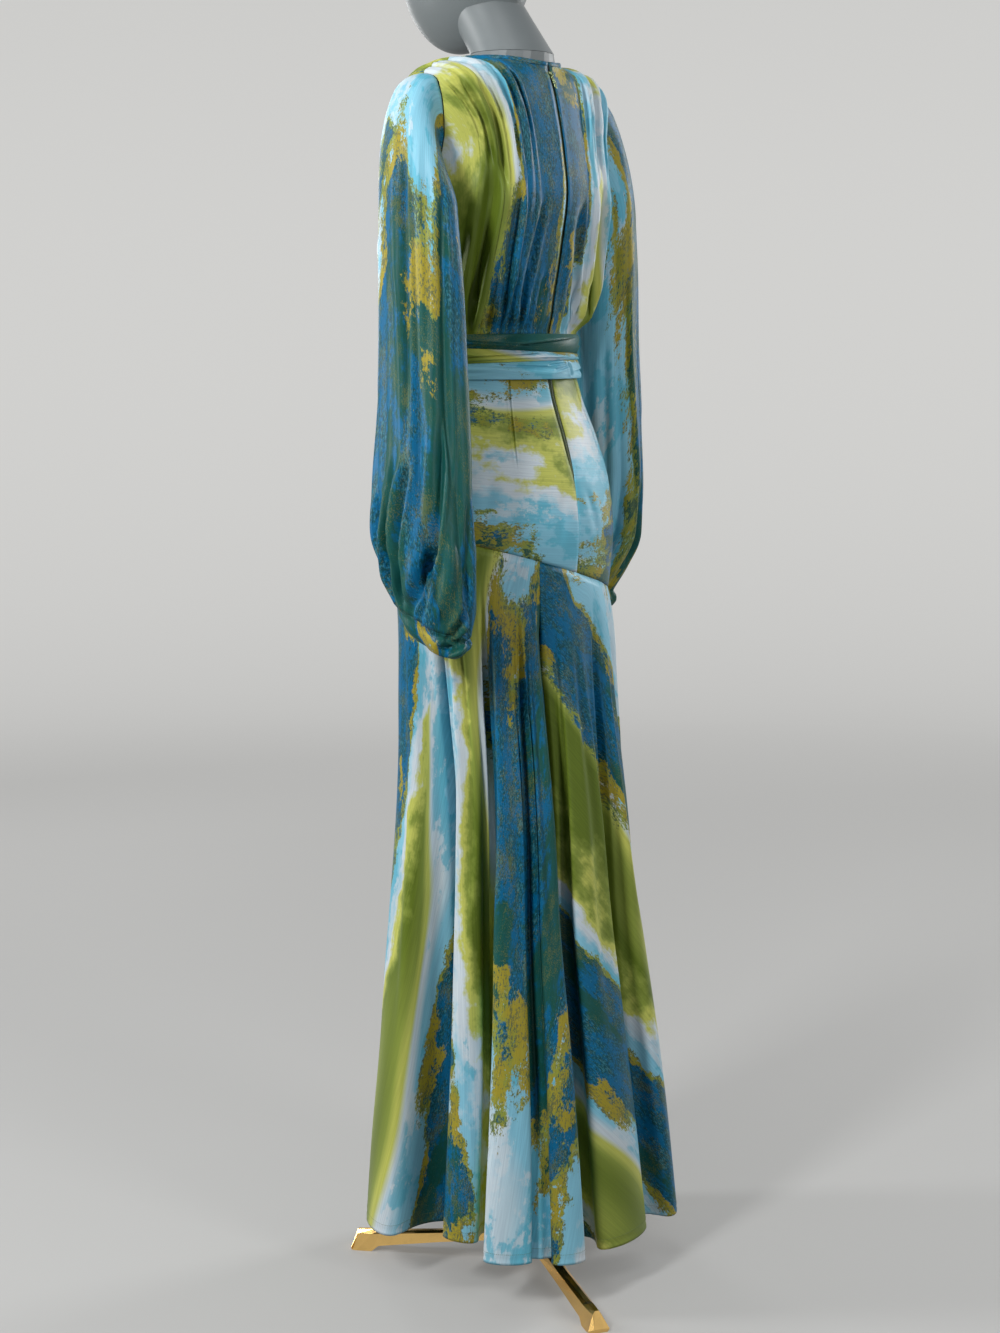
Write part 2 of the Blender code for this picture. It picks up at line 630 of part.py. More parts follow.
def loft(grid, flip=False):
    """A mesh through closed rings of points."""
    rows, columns = grid.shape[:2]
    mesh = bmesh.new()
    points = [[mesh.verts.new(point) for point in row] for row in grid]
    for i in range(rows - 1):
        for j in range(columns):
            k = (j + 1) % columns
            face = [points[i][j], points[i + 1][j], points[i + 1][k], points[i][k]]
            mesh.faces.new(face[::-1] if flip else face)
    return mesh, points


def solid_loft(name, rings, material, flip=False):
    """A closed solid through rings of points, with a flat cap at each end."""
    mesh, points = loft(np.array(rings), flip)
    mesh.faces.new(points[0] if not flip else points[0][::-1])
    mesh.faces.new(points[-1][::-1] if not flip else points[-1])
    data = bpy.data.meshes.new(name)
    mesh.to_mesh(data)
    mesh.free()
    return place(name, data, material)


def turned(name, profile, steps, material, at=(0, 0, 0)):
    """A solid of revolution about a vertical axis from (radius, height) points, top to bottom."""
    data = bpy.data.meshes.new(name)
    points = [(radius, 0, height) for radius, height in profile]
    data.from_pydata(points, [(i, i + 1) for i in range(len(points) - 1)], [])
    obj = place(name, data, material, smooth=False)
    obj.location = at
    screw = obj.modifiers.new("turn", "SCREW")
    screw.steps = screw.render_steps = steps
    screw.use_merge_vertices = True
    screw.merge_threshold = 0.0001
    return obj


def box(name, low, high):
    """A box between two corners, in the object's own frame."""
    mesh = bmesh.new()
    bmesh.ops.create_cube(mesh, size=1.0)
    low, high = Vector(low), Vector(high)
    for vert in mesh.verts:
        vert.co = Vector(low[i] + (vert.co[i] + 0.5) * (high[i] - low[i]) for i in range(3))
    data = bpy.data.meshes.new(name)
    mesh.to_mesh(data)
    mesh.free()
    return data


def rod(name, radius, half_length, sides=16):
    """A cylinder along X through the object's own origin."""
    mesh = bmesh.new()
    along_x = Matrix.Rotation(math.radians(90), 4, "Y")
    size = {"radius1": radius, "radius2": radius, "depth": 2 * half_length}
    bmesh.ops.create_cone(mesh, cap_ends=True, segments=sides, matrix=along_x, **size)
    data = bpy.data.meshes.new(name)
    mesh.to_mesh(data)
    mesh.free()
    return data


def combine(target, shape, operation):
    """Joins a helper shape to the target, or cuts it from the target, in the target's own frame."""
    helper = bpy.data.objects.new("cutter_" + target.name, shape)
    cutters.objects.link(helper)
    helper.hide_render = True
    helper.parent = target
    step = target.modifiers.new(operation.lower(), "BOOLEAN")
    step.operation = operation
    step.object = helper
    step.solver = "EXACT"


# ---------------------------------------------------------------- the gown
def make_bodice(material):
    grid = bodice_grid()
    outward = (grid - bodice_grid(PLEATED_CLOTH)) / PLEATED_CLOTH
    side = len(pleated_columns()) - 1
    back = list(range(side + 1))
    slit, seam = ZIP_SLIT, SEAM_GAP / 2
    cuts = (
        ("bodice_back_left", back, {0: slit, -1: seam}),
        ("bodice_front", list(range(side, 3 * side + 1)), {0: seam, -1: seam}),
        ("bodice_back_right", [-j for j in back[::-1]], {0: seam, -1: slit}),
    )
    panels(grid, outward, cuts, material, PLEATED_CLOTH)


def make_binding(material):
    """The narrow band that finishes the neckline, open where the zip ends."""
    columns = [c for c in pleated_columns() if c <= NECK_COLUMN + 1e-9]
    behind = [bodice_column(c, False)[-1] for c in columns]
    ahead = [bodice_column(c, True)[-1] for c in columns]
    left = np.array(behind + ahead[::-1][1:])
    lower = np.concatenate([left, (left * (-1, 1, 1))[::-1][1:]])
    inward = (lower[:-1].mean(0) - lower) * (1, 1, 0)
    inward /= np.linalg.norm(inward, axis=1, keepdims=True)
    grid = np.array([lower + (0, 0, BINDING_LIFT), lower + inward * 0.0010 + (0, 0, BINDING_LIFT + 0.0055)])
    outward = facing(grid, False)
    moves = edge_moves(grid, False, {0: ZIP_SLIT, -1: ZIP_SLIT})
    moves[..., 2] = 0
    wall("neck_binding", grid + moves, outward, material)


def make_sleeves(material, cuff_material):
    """Each sleeve and its cuff: one run of rings, parted at the seam between them."""
    for side, table in (("left", LEFT_SLEEVE), ("right", RIGHT_SLEEVE)):
        flip = side == "right"
        hand = np.array([-1 if flip else 1, 1, 1])
        sleeve = sleeve_rings(table)
        rings = np.concatenate([sleeve, cuff_rings(table[-1])[1:]]) * hand
        outward = facing(rings, True) * (-1 if flip else 1)
        seam = len(sleeve)
        tube("sleeve_" + side, rings[:seam], material, outward[:seam], CLOTH, flip)
        tube("cuff_" + side, rings[seam - 1 :], cuff_material, outward[seam - 1 :], CUFF_CLOTH, flip)


def make_sash(material):
    for number, name in enumerate(("sash_lower", "sash_middle", "sash_upper")):
        grid = sash_grid(SASH_LINES[number], SASH_LINES[number + 1], 36, 3)
        outward = facing(grid, True) * (1, 1, 0)
        outward /= np.linalg.norm(outward, axis=-1, keepdims=True)
        tube(name, grid, material, outward, SASH_CLOTH)


def make_yoke_grid():
    return yoke_grid(rows=6, columns=48)


def make_yoke(material):
    grid = make_yoke_grid()
    seam = SEAM_GAP / 2
    at_zip = np.where(grid[:, 0, 2] > ZIP_END - 0.015, ZIP_SLIT, seam)
    cuts = (
        ("yoke_back_left", list(range(0, 13)), {0: at_zip, -1: seam}),
        ("yoke_front", list(range(12, 37)), {0: seam, -1: seam}),
        ("yoke_back_right", list(range(36, 48)) + [0], {0: seam, -1: at_zip}),
    )
    panels(grid, facing(grid, True), cuts, material)


def make_skirt(material):
    grid = skirt_grid(rows=8)
    outward = facing(grid, True)
    top = fanned(skirt_angles(), 1)
    outward[-1] = form.point(top, hip_seam(top), 1.0) - form.point(top, hip_seam(top), 0.0)
    columns = list(skirt_angles())
    left, right = columns.index(LEFT_SEAM), columns.index(RIGHT_SEAM)
    seam = {0: SEAM_GAP / 2, -1: SEAM_GAP / 2}
    cuts = (
        ("skirt_back_left", list(range(0, left + 1)), seam),
        ("skirt_front", list(range(left, right + 1)), seam),
        ("skirt_back_right", list(range(right, len(columns))) + [0], seam),
    )
    panels(grid, outward, cuts, material)


def centre_back():
    """Rows up the centre back: a point of the cloth's inside, the way to its left, and the way out."""
    rows = []
    yoke = make_yoke_grid()
    inside = ((yoke - facing(yoke, True) * CLOTH, 0), (bodice_grid(PLEATED_CLOTH), 1))
    for grid, first in inside:
        outward = facing(grid, True)
        for i in range(first, len(grid)):
            left = grid[i, 1] - grid[i, 0]
            rows.append(np.array([grid[i, 0], left / np.linalg.norm(left), outward[i, 0]]))
    return rows


def at_height(rows, height):
    """The row of the centre back at a height, straight between the two nearest."""
    for low, high in zip(rows, rows[1:]):
        if low[0, 2] <= height <= high[0, 2]:
            share = (height - low[0, 2]) / (high[0, 2] - low[0, 2])
            return low + (high - low) * share
    return rows[-1]


def make_zip(tape_material, metal):
    rows = centre_back()
    rings = []
    inner = [row for row in rows if ZIP_END + 0.004 < row[0, 2] < ZIP_TOP - 0.001]
    for spot, left, out in [at_height(rows, ZIP_END)] + inner + [at_height(rows, ZIP_TOP)]:
        ring = []
        for x, rise in ZIP_SECTION:
            along = left * (1 if x > 0 else -1, 1, 1)
            ring.append(spot + along * abs(x) + out * (rise - 0.0004))
        rings.append(np.array(ring))
    solid_loft("zip_tape", rings, tape_material)

    spot, _, out = at_height(rows, SLIDER_HEIGHT)
    pin = Vector(spot + out * (PLEATED_CLOTH + PIN_RISE))
    lean = math.atan2(-out[2], out[1])
    plate = box("zip_slider", (-0.0026, -0.0029, -0.0045), (0.0026, -0.0015, 0.0045))
    slider = place("zip_slider", plate, metal)
    slider.location = pin
    slider.rotation_euler = (-lean, 0, 0)
    for low, high in ((0.0014, 0.0026), (-0.0026, -0.0014)):
        combine(slider, box("lug", (low, -0.0020, -0.0011), (high, 0.0010, 0.0011)), "UNION")
    combine(slider, rod("pin", 0.0005, 0.0018), "UNION")

    pull = place("zip_pull", box("zip_pull", (-0.0022, -0.0004, -0.0195), (0.0022, 0.0004, -0.0050)), metal)
    pull.location = pin
    pull.rotation_euler = (-lean + math.radians(PULL_LEAN), 0, 0)
    combine(pull, box("neck", (-0.0009, -0.0004, -0.0060), (0.0009, 0.0004, -0.0004)), "UNION")
    combine(pull, rod("barrel", 0.0012, 0.0010), "UNION")
    combine(pull, rod("bore", 0.0008, 0.0020), "DIFFERENCE")


# ---------------------------------------------------------------- the dress form and its stand
def make_form(material):
    levels = [row.height for row in FORM if row.height > TORSO_BOTTOM] + [TORSO_BOTTOM, *FORM_LEVELS]
    angles = np.linspace(0, 360, 32, endpoint=False)
    rings = [form.point(angles, np.full_like(angles, level)) for level in sorted(levels)]
    solid_loft("form_torso", rings, material)
    turn = np.radians(np.linspace(0, 360, 24, endpoint=False))
    neck = []
    for row in NECK:
        x, y = row.half_x * np.sin(turn), row.half_y * np.cos(turn)
        neck.append(np.stack([x, row.centre + y, row.height + row.lean * y], -1))
    combine(solid_loft("form_neck", neck, material), head_shape("neck_hollow", 0.0012), "DIFFERENCE")
    place("form_head", head_shape("form_head", 0.0), material)


def head_shape(name, grow):
    """A plain egg: full at the back of the skull, narrower towards the chin."""
    mesh = bmesh.new()
    bmesh.ops.create_uvsphere(mesh, u_segments=24, v_segments=14, radius=1.0)
    half = [size + grow for size in HEAD_HALF]
    for vert in mesh.verts:
        x, y, z = vert.co
        low = max(0.0, -z)
        round_part = max(1e-6, 1 - z * z) ** 0.5
        full = max(1e-6, 1 - low**2.6) ** (1 / 2.6) / max(1e-6, 1 - low**2) ** 0.5
        behind = max(0.0, y / round_part)
        y = y * (1 + (full - 1) * behind) if low < 0.99 else y
        chin = 1 - 0.22 * low**1.5
        vert.co = Vector((half[0] * x * chin, half[1] * (y - 0.10 * low), half[2] * z))
        vert.co += Vector(HEAD_CENTRE)
    data = bpy.data.meshes.new(name)
    mesh.to_mesh(data)
    mesh.free()
    return data


def make_stand(material):
    bottom = TORSO_BOTTOM
    hub = [(0, 0.088), (0.019, 0.088), (0.022, 0.080), (0.030, 0.062), (0.034, 0.050)]
    hub += [(0.034, 0.030), (0.030, 0.024), (0, 0.024)]
    turned("stand_hub", hub, 24, material, (0, HUB_Y, 0))
    pole = [(0, bottom - 0.0003), (POLE_RADIUS, bottom - 0.0003), (POLE_RADIUS, 0.0883), (0, 0.0883)]
    turned("stand_pole", pole, 24, material, (0, HUB_Y, 0))
    for number, angle in enumerate(LEG_ANGLES, 1):
        make_leg("stand_leg_%d" % number, angle, material)


LegCut = namedtuple("LegCut", "reach low high bottom_half top_half")
LEG = (
    LegCut(0.0343, 0.0300, 0.0480, 0.0110, 0.0060),
    LegCut(0.1250, 0.0200, 0.0340, 0.0115, 0.0055),
    LegCut(0.2120, 0.0080, 0.0270, 0.0120, 0.0055),
    LegCut(0.2220, 0.0000, 0.0280, 0.0128, 0.0055),
    LegCut(0.2430, 0.0000, 0.0270, 0.0135, 0.0045),
    LegCut(0.2500, 0.0000, 0.0050, 0.0120, 0.0110),
)


def make_leg(name, angle, material):
    """A tapered bar that slopes down to a foot, with a narrow bevelled top."""
    rings = []
    for cut in LEG:
        shoulder = cut.low + (cut.high - cut.low) * 0.82
        rings.append(
            [
                (cut.bottom_half, cut.reach, cut.low),
                (cut.top_half * 1.35, cut.reach, shoulder),
                (cut.top_half * 0.6, cut.reach, cut.high),
                (-cut.top_half * 0.6, cut.reach, cut.high),
                (-cut.top_half * 1.35, cut.reach, shoulder),
                (-cut.bottom_half, cut.reach, cut.low),
            ]
        )
    leg = solid_loft(name, rings, material)
    leg.data.set_sharp_from_angle(angle=math.radians(30))
    leg.location = (0, HUB_Y, 0)
    leg.rotation_euler = (0, 0, -math.radians(angle))
    return leg


def centre_on_footprint():
    """Moves the model so that the middle of its bounding box lies over the origin."""
    bpy.context.view_layer.update()
    graph = bpy.context.evaluated_depsgraph_get()
    corners = []
    for obj in parts.objects:
        if obj.type == "MESH":
            shown = obj.evaluated_get(graph)
            corners += [shown.matrix_world @ Vector(corner) for corner in shown.bound_box]
    low = Vector(map(min, zip(*corners)))
    high = Vector(map(max, zip(*corners)))
    origin.location = (-(low.x + high.x) / 2, -(low.y + high.y) / 2, 0)


fresh_scene()
parts = bpy.data.collections.new("evening_gown_on_dress_form")
cutters = bpy.data.collections.new("cutters")
bpy.context.scene.collection.children.link(parts)
bpy.context.scene.collection.children.link(cutters)
origin = bpy.data.objects.new("gown_origin", None)
parts.objects.link(origin)

make_bodice(finish_material("bodice_cloth", BLUE, 0.45))
make_binding(finish_material("binding_cloth", BLUE, 0.45))
make_sleeves(finish_material("sleeve_cloth", BLUE, 0.45), finish_material("cuff_cloth", OLIVE, 0.45))
make_sash(finish_material("sash_cloth", AQUA, 0.42))
make_yoke(finish_material("yoke_cloth", OLIVE, 0.42))
make_skirt(finish_material("skirt_cloth", BLUE, 0.42))
make_zip(finish_material("zip_tape_green", ZIP_GREEN, 0.6), finish_material("zip_metal", BRASS, 0.35, 1.0))
make_form(finish_material("form_cover", GREY, 0.6))
make_stand(finish_material("brass", BRASS, 0.2, 1.0))
centre_on_footprint()
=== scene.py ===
"""The looks of a long-sleeved evening gown on a dress form, laid out as an add-on and run as a script.

The front faces -Y, the wearer's left is +X and the floor is z = 0. Angles round the body are in degrees
from the centre back (+Y) towards the left side (+X). Sizes are in metres.
"""

import json
import math
from collections import namedtuple
from functools import partial

import bmesh
import bpy
import numpy as np
from bpy.props import FloatProperty, FloatVectorProperty, PointerProperty
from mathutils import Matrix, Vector


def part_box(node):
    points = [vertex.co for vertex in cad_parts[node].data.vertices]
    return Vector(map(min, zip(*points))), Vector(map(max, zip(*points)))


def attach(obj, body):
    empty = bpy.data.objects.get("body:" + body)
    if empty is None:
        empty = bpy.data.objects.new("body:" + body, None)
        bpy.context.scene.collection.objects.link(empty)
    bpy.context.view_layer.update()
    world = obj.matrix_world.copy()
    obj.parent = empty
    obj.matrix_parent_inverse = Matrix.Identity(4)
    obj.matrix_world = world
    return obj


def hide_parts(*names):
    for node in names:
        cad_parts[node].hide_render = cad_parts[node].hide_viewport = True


bl_info = {
    "name": "Evening gown on a dress form",
    "version": (1, 0, 0),
    "blender": (4, 5, 0),
    "location": "3D View > Sidebar > Gown",
    "description": "Makes a printed satin gown, its dress form and a plain studio around them",
    "category": "Add Mesh",
}

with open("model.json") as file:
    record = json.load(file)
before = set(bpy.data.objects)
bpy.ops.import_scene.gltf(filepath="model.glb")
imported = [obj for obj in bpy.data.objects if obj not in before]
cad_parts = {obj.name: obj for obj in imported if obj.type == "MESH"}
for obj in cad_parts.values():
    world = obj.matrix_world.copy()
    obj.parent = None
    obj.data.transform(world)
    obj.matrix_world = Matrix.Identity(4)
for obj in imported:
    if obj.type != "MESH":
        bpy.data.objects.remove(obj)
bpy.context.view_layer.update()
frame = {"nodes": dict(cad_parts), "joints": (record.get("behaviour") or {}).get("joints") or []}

# ---------------------------------------------------------------- sizes of the pattern
SEAM_GAP = 0.0005  # between two pieces that are sewn together
HALF_GAP = SEAM_GAP / 2
SEAM_REACH = 0.004  # how far from a seam the cloth starts to sink, and then how deep it sinks
SEAM_DEPTH = 0.0007
HIP_SEAM_DIP = (0.0025, 0.0005)  # the same two at the seam between yoke and skirt
BODICE_ROOM = 0.0034  # least distance from the form to the outside of the bodice
YOKE_ROOM = 0.0040
YOKE_PULL = 0.0006  # how much closer the yoke lies at the waist
WAIST_SEAM = 1.232
NECK_SIDE = 1.5965  # height of the neckline at the side and the back of the neck
NECK_HALF = 0.062  # half the width of the neckline
NECK_TRIM = 0.0030  # from the neckline down to the bodice's own edge
FRONT_NECK_DROP = 0.058  # how much lower the neckline lies at the centre front
SHOULDER_TIP = 0.1570  # half the distance from armhole to armhole over the shoulders
BACK_WIDTH = 0.1530  # half that distance halfway down the armhole
SHOULDER_SPREAD = 0.22  # share by which the gathers spread from the upper back to the shoulder seam
SHOULDER_LINE = (1.5375, 1.5955)  # heights between which the shoulder line runs
UNDERARM = 1.432
UPPER_BACK = 1.47  # above this height the gathers spread towards the shoulder seam
NECK_COLUMN = 20.0  # waist angle of the pleat that ends at the neck side
TIP_COLUMN = 66.0  # waist angle of the pleat that ends at the shoulder tip
SHOULDER_HOLD = 1.46  # above this height the shoulder seam draws the pleats deeper
WAIST_HOLD = 1.36  # below this height the waist does
BINDING_WIDTH = 0.0056  # of the band on the flat cloth, then how far it rises and leans inwards
BINDING_RISE = 0.0055
BINDING_LEAN = 0.0010
BINDING_LIFT = 0.0003  # from the bodice's edge to the band
BINDING_SWELL = 0.0007
BINDING_SLIT = 0.0012  # from the centre back to the binding's ends
ZIP_SLIT = 0.0029  # from the centre back to the bodice's edges
ZIP_END = 1.0740
ZIP_SPREAD = 0.0042  # how much further from the centre back the yoke's edges lie along the zip
ZIP_SPREAD_FROM = ZIP_END - 0.006  # the height at which they start to part
ZIP_SPREAD_OVER = 0.040
ZIP_RIDGE = 0.0009  # how far the turned edges stand up beside the zip
ZIP_SPINE = 0.0012  # how deep the middles of the teeth lie under the cloth's face
ZIP_PITCH = 0.0015
ZIP_TEETH = (1.0765, 1.5735)
TOOTH = (0.0028, 0.00048)  # length, and half the thickness
TOOTH_ASIDE = 0.0008
HIP_SEAM = 0.960  # mean height of the seam between yoke and skirt
HIP_SEAM_RISE = 0.046  # the seam is this much higher at HIP_SEAM_HIGH and lower opposite
HIP_SEAM_HIGH = 100.0
HIP_SEAM_FIT = 0.10  # below the seam, the length over which the skirt follows the yoke
HEM = 0.064
HEM_RISE = 0.008
HEM_HIGH = 85.0
HEM_GROOVE = 0.0006  # how far the cloth sinks along the hem's stitches, and over what width
HEM_GROOVE_WIDTH = 0.0022
HEM_STITCH_ROW = 4  # the row of points along which the hem is sewn
STITCH = (0.0018, 0.00022)  # length, and half the thickness
SKIRT_LENGTH = 0.9  # the mean, by which its creases fade towards the hem and the seam
LEFT_SEAM = 101.0  # angles of two of the skirt's seams, each in a valley; the third is where FLUTES start
RIGHT_SEAM = 270.0
FAN = 25.0  # degrees by which the flutes draw together towards FAN_CENTRE on their way up
FAN_CENTRE = 27.0
VALLEY_DEEPER = 1.18
FOLD_OVER = 1.55  # how strongly the flutes lean over their valleys
HUB_Y = 0.055  # the stand stands a little behind the waist
HEAD_CLEAR = 0.0016  # more room between sleeve and bodice at the shoulder, where the seam turns over
HEAD_REACH = 0.006  # how far the sleeve's head stands out before it turns down
CUFF_TWIST = 900  # degrees that the cuff's gathers turn in each metre
SASH_ROOM = 0.0064  # from the form to the inside of the sash
SASH_CLOTH = 0.0025  # the sash is folded double
SASH_SHELL = 0.0016  # thickness of the folded cloth as it is drawn
SASH_BULGE = 0.0030
SASH_WIDTH = 0.022  # of each wrap on the flat cloth
SASH_END = 230  # the angle where each wrap starts and ends
HEAD_CENTRE = (0.0, -0.055, 1.738)
HEAD_HALF = (0.074, 0.096, 0.118)
PULL_EDGE = (  # half the pull tab's outline: distance from its middle, and from the pin
    (0.0009, 0.0010),
    (0.0009, 0.0046),
    (0.0013, 0.0054),
    (0.0020, 0.0060),
    (0.0022, 0.0066),
    (0.0022, 0.0172),
    (0.0019, 0.0184),
    (0.0013, 0.0192),
    (0.0005, 0.0195),
)
PULL_HOLES = ((0.0101, 0.00085, 0.0028), (0.0167, 0.00075, 0.0009))  # middle, half width, half length
PULL_PLATE = (0.0009, 0.00016)  # thickness, and the softened edge
PULL_BARREL = (0.0012, 0.0008, 0.0010)  # outer and inner radius, half the length
FLOOR_RADIUS = 4.6
COVE_RADIUS = 1.6  # of the curve between the studio's floor and wall
WALL_TOP = 6.0
STUDIO_ROUND = 96
LIGHTS_AIM = 0.95  # the height that every light faces
Light = namedtuple("Light", "name azimuth distance height power wide tall")
LIGHTS = (
    Light("key_light", 84, 2.8, 2.7, 72, 0.5, 0.9),
    Light("left_light", 138, 2.6, 1.7, 44, 0.4, 1.8),
    Light("right_light", 6, 3.1, 1.9, 30, 0.7, 1.8),
    Light("rim_light", 286, 2.8, 2.0, 42, 0.6, 1.8),
    Light("front_light", 205, 3.0, 2.0, 16, 0.8, 1.8),
    Light("top_light", 60, 0.6, 3.9, 10, 1.0, 1.0),
)

# How finely each piece is drawn.
BODICE_ROWS = 72
BINDING_ROUND = 30
BINDING_ROWS = 9
SLEEVE_ROUND = 144
HEAD_ROWS = 26
SLEEVE_ROWS = 92
CUFF_ROWS = 26
SASH_ROUND = 300
SASH_ROWS = 40
YOKE_ROUND = 289
YOKE_ROWS = 64
DART_ROUND = 41
FLUTE_ROUND = 40
SKIRT_ROWS = 88

# The length of a degree round each piece, by which its creases are drawn.
BODICE_DEGREE = 0.0022
SLEEVE_DEGREE = 0.00095
SASH_DEGREE = 0.0018
SASH_HEIGHT = 0.020  # of each wrap, whose creases are placed by shares of it
YOKE_DEGREE = 0.0024
SKIRT_DEGREE = 0.0034


def rows_of(kind, *rows):
    """A table whose rows are of this kind."""
    return tuple(kind(*row) for row in rows)


Section = namedtuple("Section", "height half_width back front centre")
FORM = rows_of(
    Section,
    (0.860, 0.148, 0.104, 0.094, 0.006),
    (0.930, 0.163, 0.118, 0.104, 0.006),
    (1.000, 0.168, 0.124, 0.108, 0.006),
    (1.060, 0.163, 0.120, 0.106, 0.004),
    (1.120, 0.149, 0.108, 0.100, -0.001),
    (1.180, 0.129, 0.093, 0.092, -0.007),
    (1.230, 0.119, 0.086, 0.089, -0.010),
    (1.300, 0.128, 0.086, 0.100, -0.009),
    (1.370, 0.143, 0.093, 0.118, -0.005),
    (1.430, 0.156, 0.099, 0.119, 0.000),
    (1.490, 0.164, 0.092, 0.103, 0.005),
    (1.535, 0.168, 0.080, 0.086, 0.009),
    (1.560, 0.165, 0.071, 0.073, 0.012),
    (1.575, 0.143, 0.064, 0.064, 0.014),
    (1.586, 0.098, 0.058, 0.058, 0.016),
    (1.594, 0.062, 0.055, 0.054, 0.018),
    (1.612, 0.055, 0.053, 0.053, 0.0205),
)
SKIRT = rows_of(
    Section,
    (0.064, 0.214, 0.204, 0.196, 0.035),
    (0.180, 0.205, 0.194, 0.186, 0.032),
    (0.300, 0.195, 0.182, 0.172, 0.029),
    (0.500, 0.178, 0.160, 0.150, 0.022),
    (0.620, 0.171, 0.150, 0.138, 0.020),
    (0.720, 0.168, 0.141, 0.128, 0.016),
    (0.800, 0.169, 0.134, 0.121, 0.012),
    (0.880, 0.172, 0.129, 0.115, 0.009),
    (0.950, 0.173, 0.127, 0.112, 0.006),
    (1.010, 0.172, 0.128, 0.112, 0.006),
)
FluteShare = namedtuple("FluteShare", "height share overhang")
SKIRT_FLUTE = rows_of(
    FluteShare,
    (0.064, 1.000, 0.20),
    (0.180, 0.930, 0.19),
    (0.300, 0.820, 0.17),
    (0.500, 0.590, 0.13),
    (0.700, 0.350, 0.08),
    (0.860, 0.130, 0.03),
    (0.935, 0.012, 0.00),
    (1.010, 0.000, 0.00),
)
Flute = namedtuple("Flute", "start valley crest")
FLUTES = rows_of(
    Flute,
    (20.0, 0.078, 0.000),
    (40.0, 0.022, 0.006),
    (68.0, 0.100, 0.060),
    (101.0, 0.104, -0.006),
    (160.0, 0.036, 0.000),
    (188.0, 0.056, 0.010),
    (214.0, 0.080, -0.004),
    (244.0, 0.058, 0.008),
    (270.0, 0.088, -0.002),
    (304.0, 0.052, -0.010),
    (327.0, 0.047, 0.022),
)
Ease = namedtuple("Ease", "column room")
BODICE_EASE = rows_of(
    Ease,
    (0.0, 0.011),
    (20.0, 0.015),
    (42.0, 0.024),
    (62.0, 0.020),
    (80.0, 0.007),
    (90.0, 0.004),
)
Blouse = namedtuple("Blouse", "height share pleat")
BODICE_BLOUSE = rows_of(
    Blouse,
    (1.232, 0.04, 0.0003),
    (1.258, 0.08, 0.0006),
    (1.284, 0.56, 0.0054),
    (1.340, 0.96, 0.0046),
    (1.430, 0.76, 0.0034),
    (1.510, 0.34, 0.0030),
    (1.600, 0.30, 0.0026),
)
Pleat = namedtuple("Pleat", "start depth")
PLEATS = rows_of(
    Pleat,
    (20.0, 0.50),
    (25.0, 1.15),
    (33.0, 0.60),
    (38.0, 1.30),
    (47.0, 0.55),
    (51.5, 1.20),
    (60.0, 0.80),
    (66.0, 0.50),
    (73.0, 0.30),
    (79.0, 0.00),
)
SleeveRing = namedtuple("SleeveRing", "height centre_x centre_y half_x half_y fold tilt")
LEFT_SLEEVE = rows_of(
    SleeveRing,
    (1.405, 0.2010, 0.038, 0.0390, 0.0560, 0.0010, 0.00),
    (1.330, 0.2050, 0.045, 0.0410, 0.0600, 0.0024, 0.00),
    (1.240, 0.2090, 0.051, 0.0425, 0.0630, 0.0036, 0.00),
    (1.150, 0.2150, 0.057, 0.0430, 0.0680, 0.0046, 0.00),
    (1.060, 0.2230, 0.062, 0.0430, 0.0740, 0.0052, 0.05),
    (1.000, 0.2260, 0.065, 0.0430, 0.0760, 0.0056, 0.15),
    (0.950, 0.2240, 0.070, 0.0405, 0.0710, 0.0054, 0.32),
    (0.910, 0.2210, 0.0735, 0.0345, 0.0600, 0.0034, 0.42),
)
RIGHT_SLEEVE = rows_of(
    SleeveRing,
    (1.405, 0.2010, 0.008, 0.0390, 0.0560, 0.0010, 0.00),
    (1.330, 0.2050, 0.006, 0.0410, 0.0600, 0.0024, 0.00),
    (1.240, 0.2090, 0.004, 0.0420, 0.0610, 0.0036, 0.00),
    (1.150, 0.2150, 0.003, 0.0430, 0.0640, 0.0046, 0.00),
    (1.060, 0.2220, 0.001, 0.0430, 0.0660, 0.0052, 0.00),
    (0.990, 0.2240, -0.003, 0.0420, 0.0640, 0.0056, 0.05),
    (0.945, 0.2210, -0.010, 0.0370, 0.0520, 0.0050, 0.10),
    (0.912, 0.2175, -0.017, 0.0300, 0.0390, 0.0034, 0.14),
)
SLEEVE_FOLDS = (0, 47, 101, 149, 196, 251, 304)
FOLD_SIZES = (1, 0.7, 1.1, 0.6, 0.9, 1.2, 0.8, 1)
CuffCut = namedtuple("CuffCut", "fall narrow back")
CUFF = rows_of(
    CuffCut,
    (0.000, 1.00, 0.000),
    (0.005, 0.91, 0.001),
    (0.011, 0.93, 0.004),
    (0.019, 0.86, 0.008),
    (0.026, 0.68, 0.011),
)
SashLine = namedtuple("SashLine", "height slope lean")
SASH_LINES = rows_of(
    SashLine,
    (1.1985, 0.0010, 200),
    (1.2185, 0.0050, 330),
    (1.2380, 0.0048, 130),
    (1.2570, 0.0012, 10),
)
NeckRing = namedtuple("NeckRing", "height centre half_x half_y lean")
NECK = rows_of(
    NeckRing,
    (1.6125, 0.0205, 0.0548, 0.0528, 0.00),
    (1.6300, 0.0080, 0.0510, 0.0505, 0.08),
    (1.6500, -0.0070, 0.0480, 0.0485, 0.16),
    (1.6690, -0.0210, 0.0465, 0.0470, 0.22),
)

# ---------------------------------------------------------------- creases laid one by one
# A crease runs from one place on its piece to another. Its bend is how far its middle lies to the side,
# its width half its own width, and its depth how far it sinks, or rises where it is below zero. Its steep
# says how much steeper one of its sides is than the other, from -1 to 1.
Crease = namedtuple("Crease", "across up to_across to_up bend width depth steep", defaults=(0.0,))
LIP_PLACE = 1.9  # of the lip beside a crease, in the crease's widths, and how wide and high it is
LIP_WIDTH = 0.9
LIP_HEIGHT = 0.3


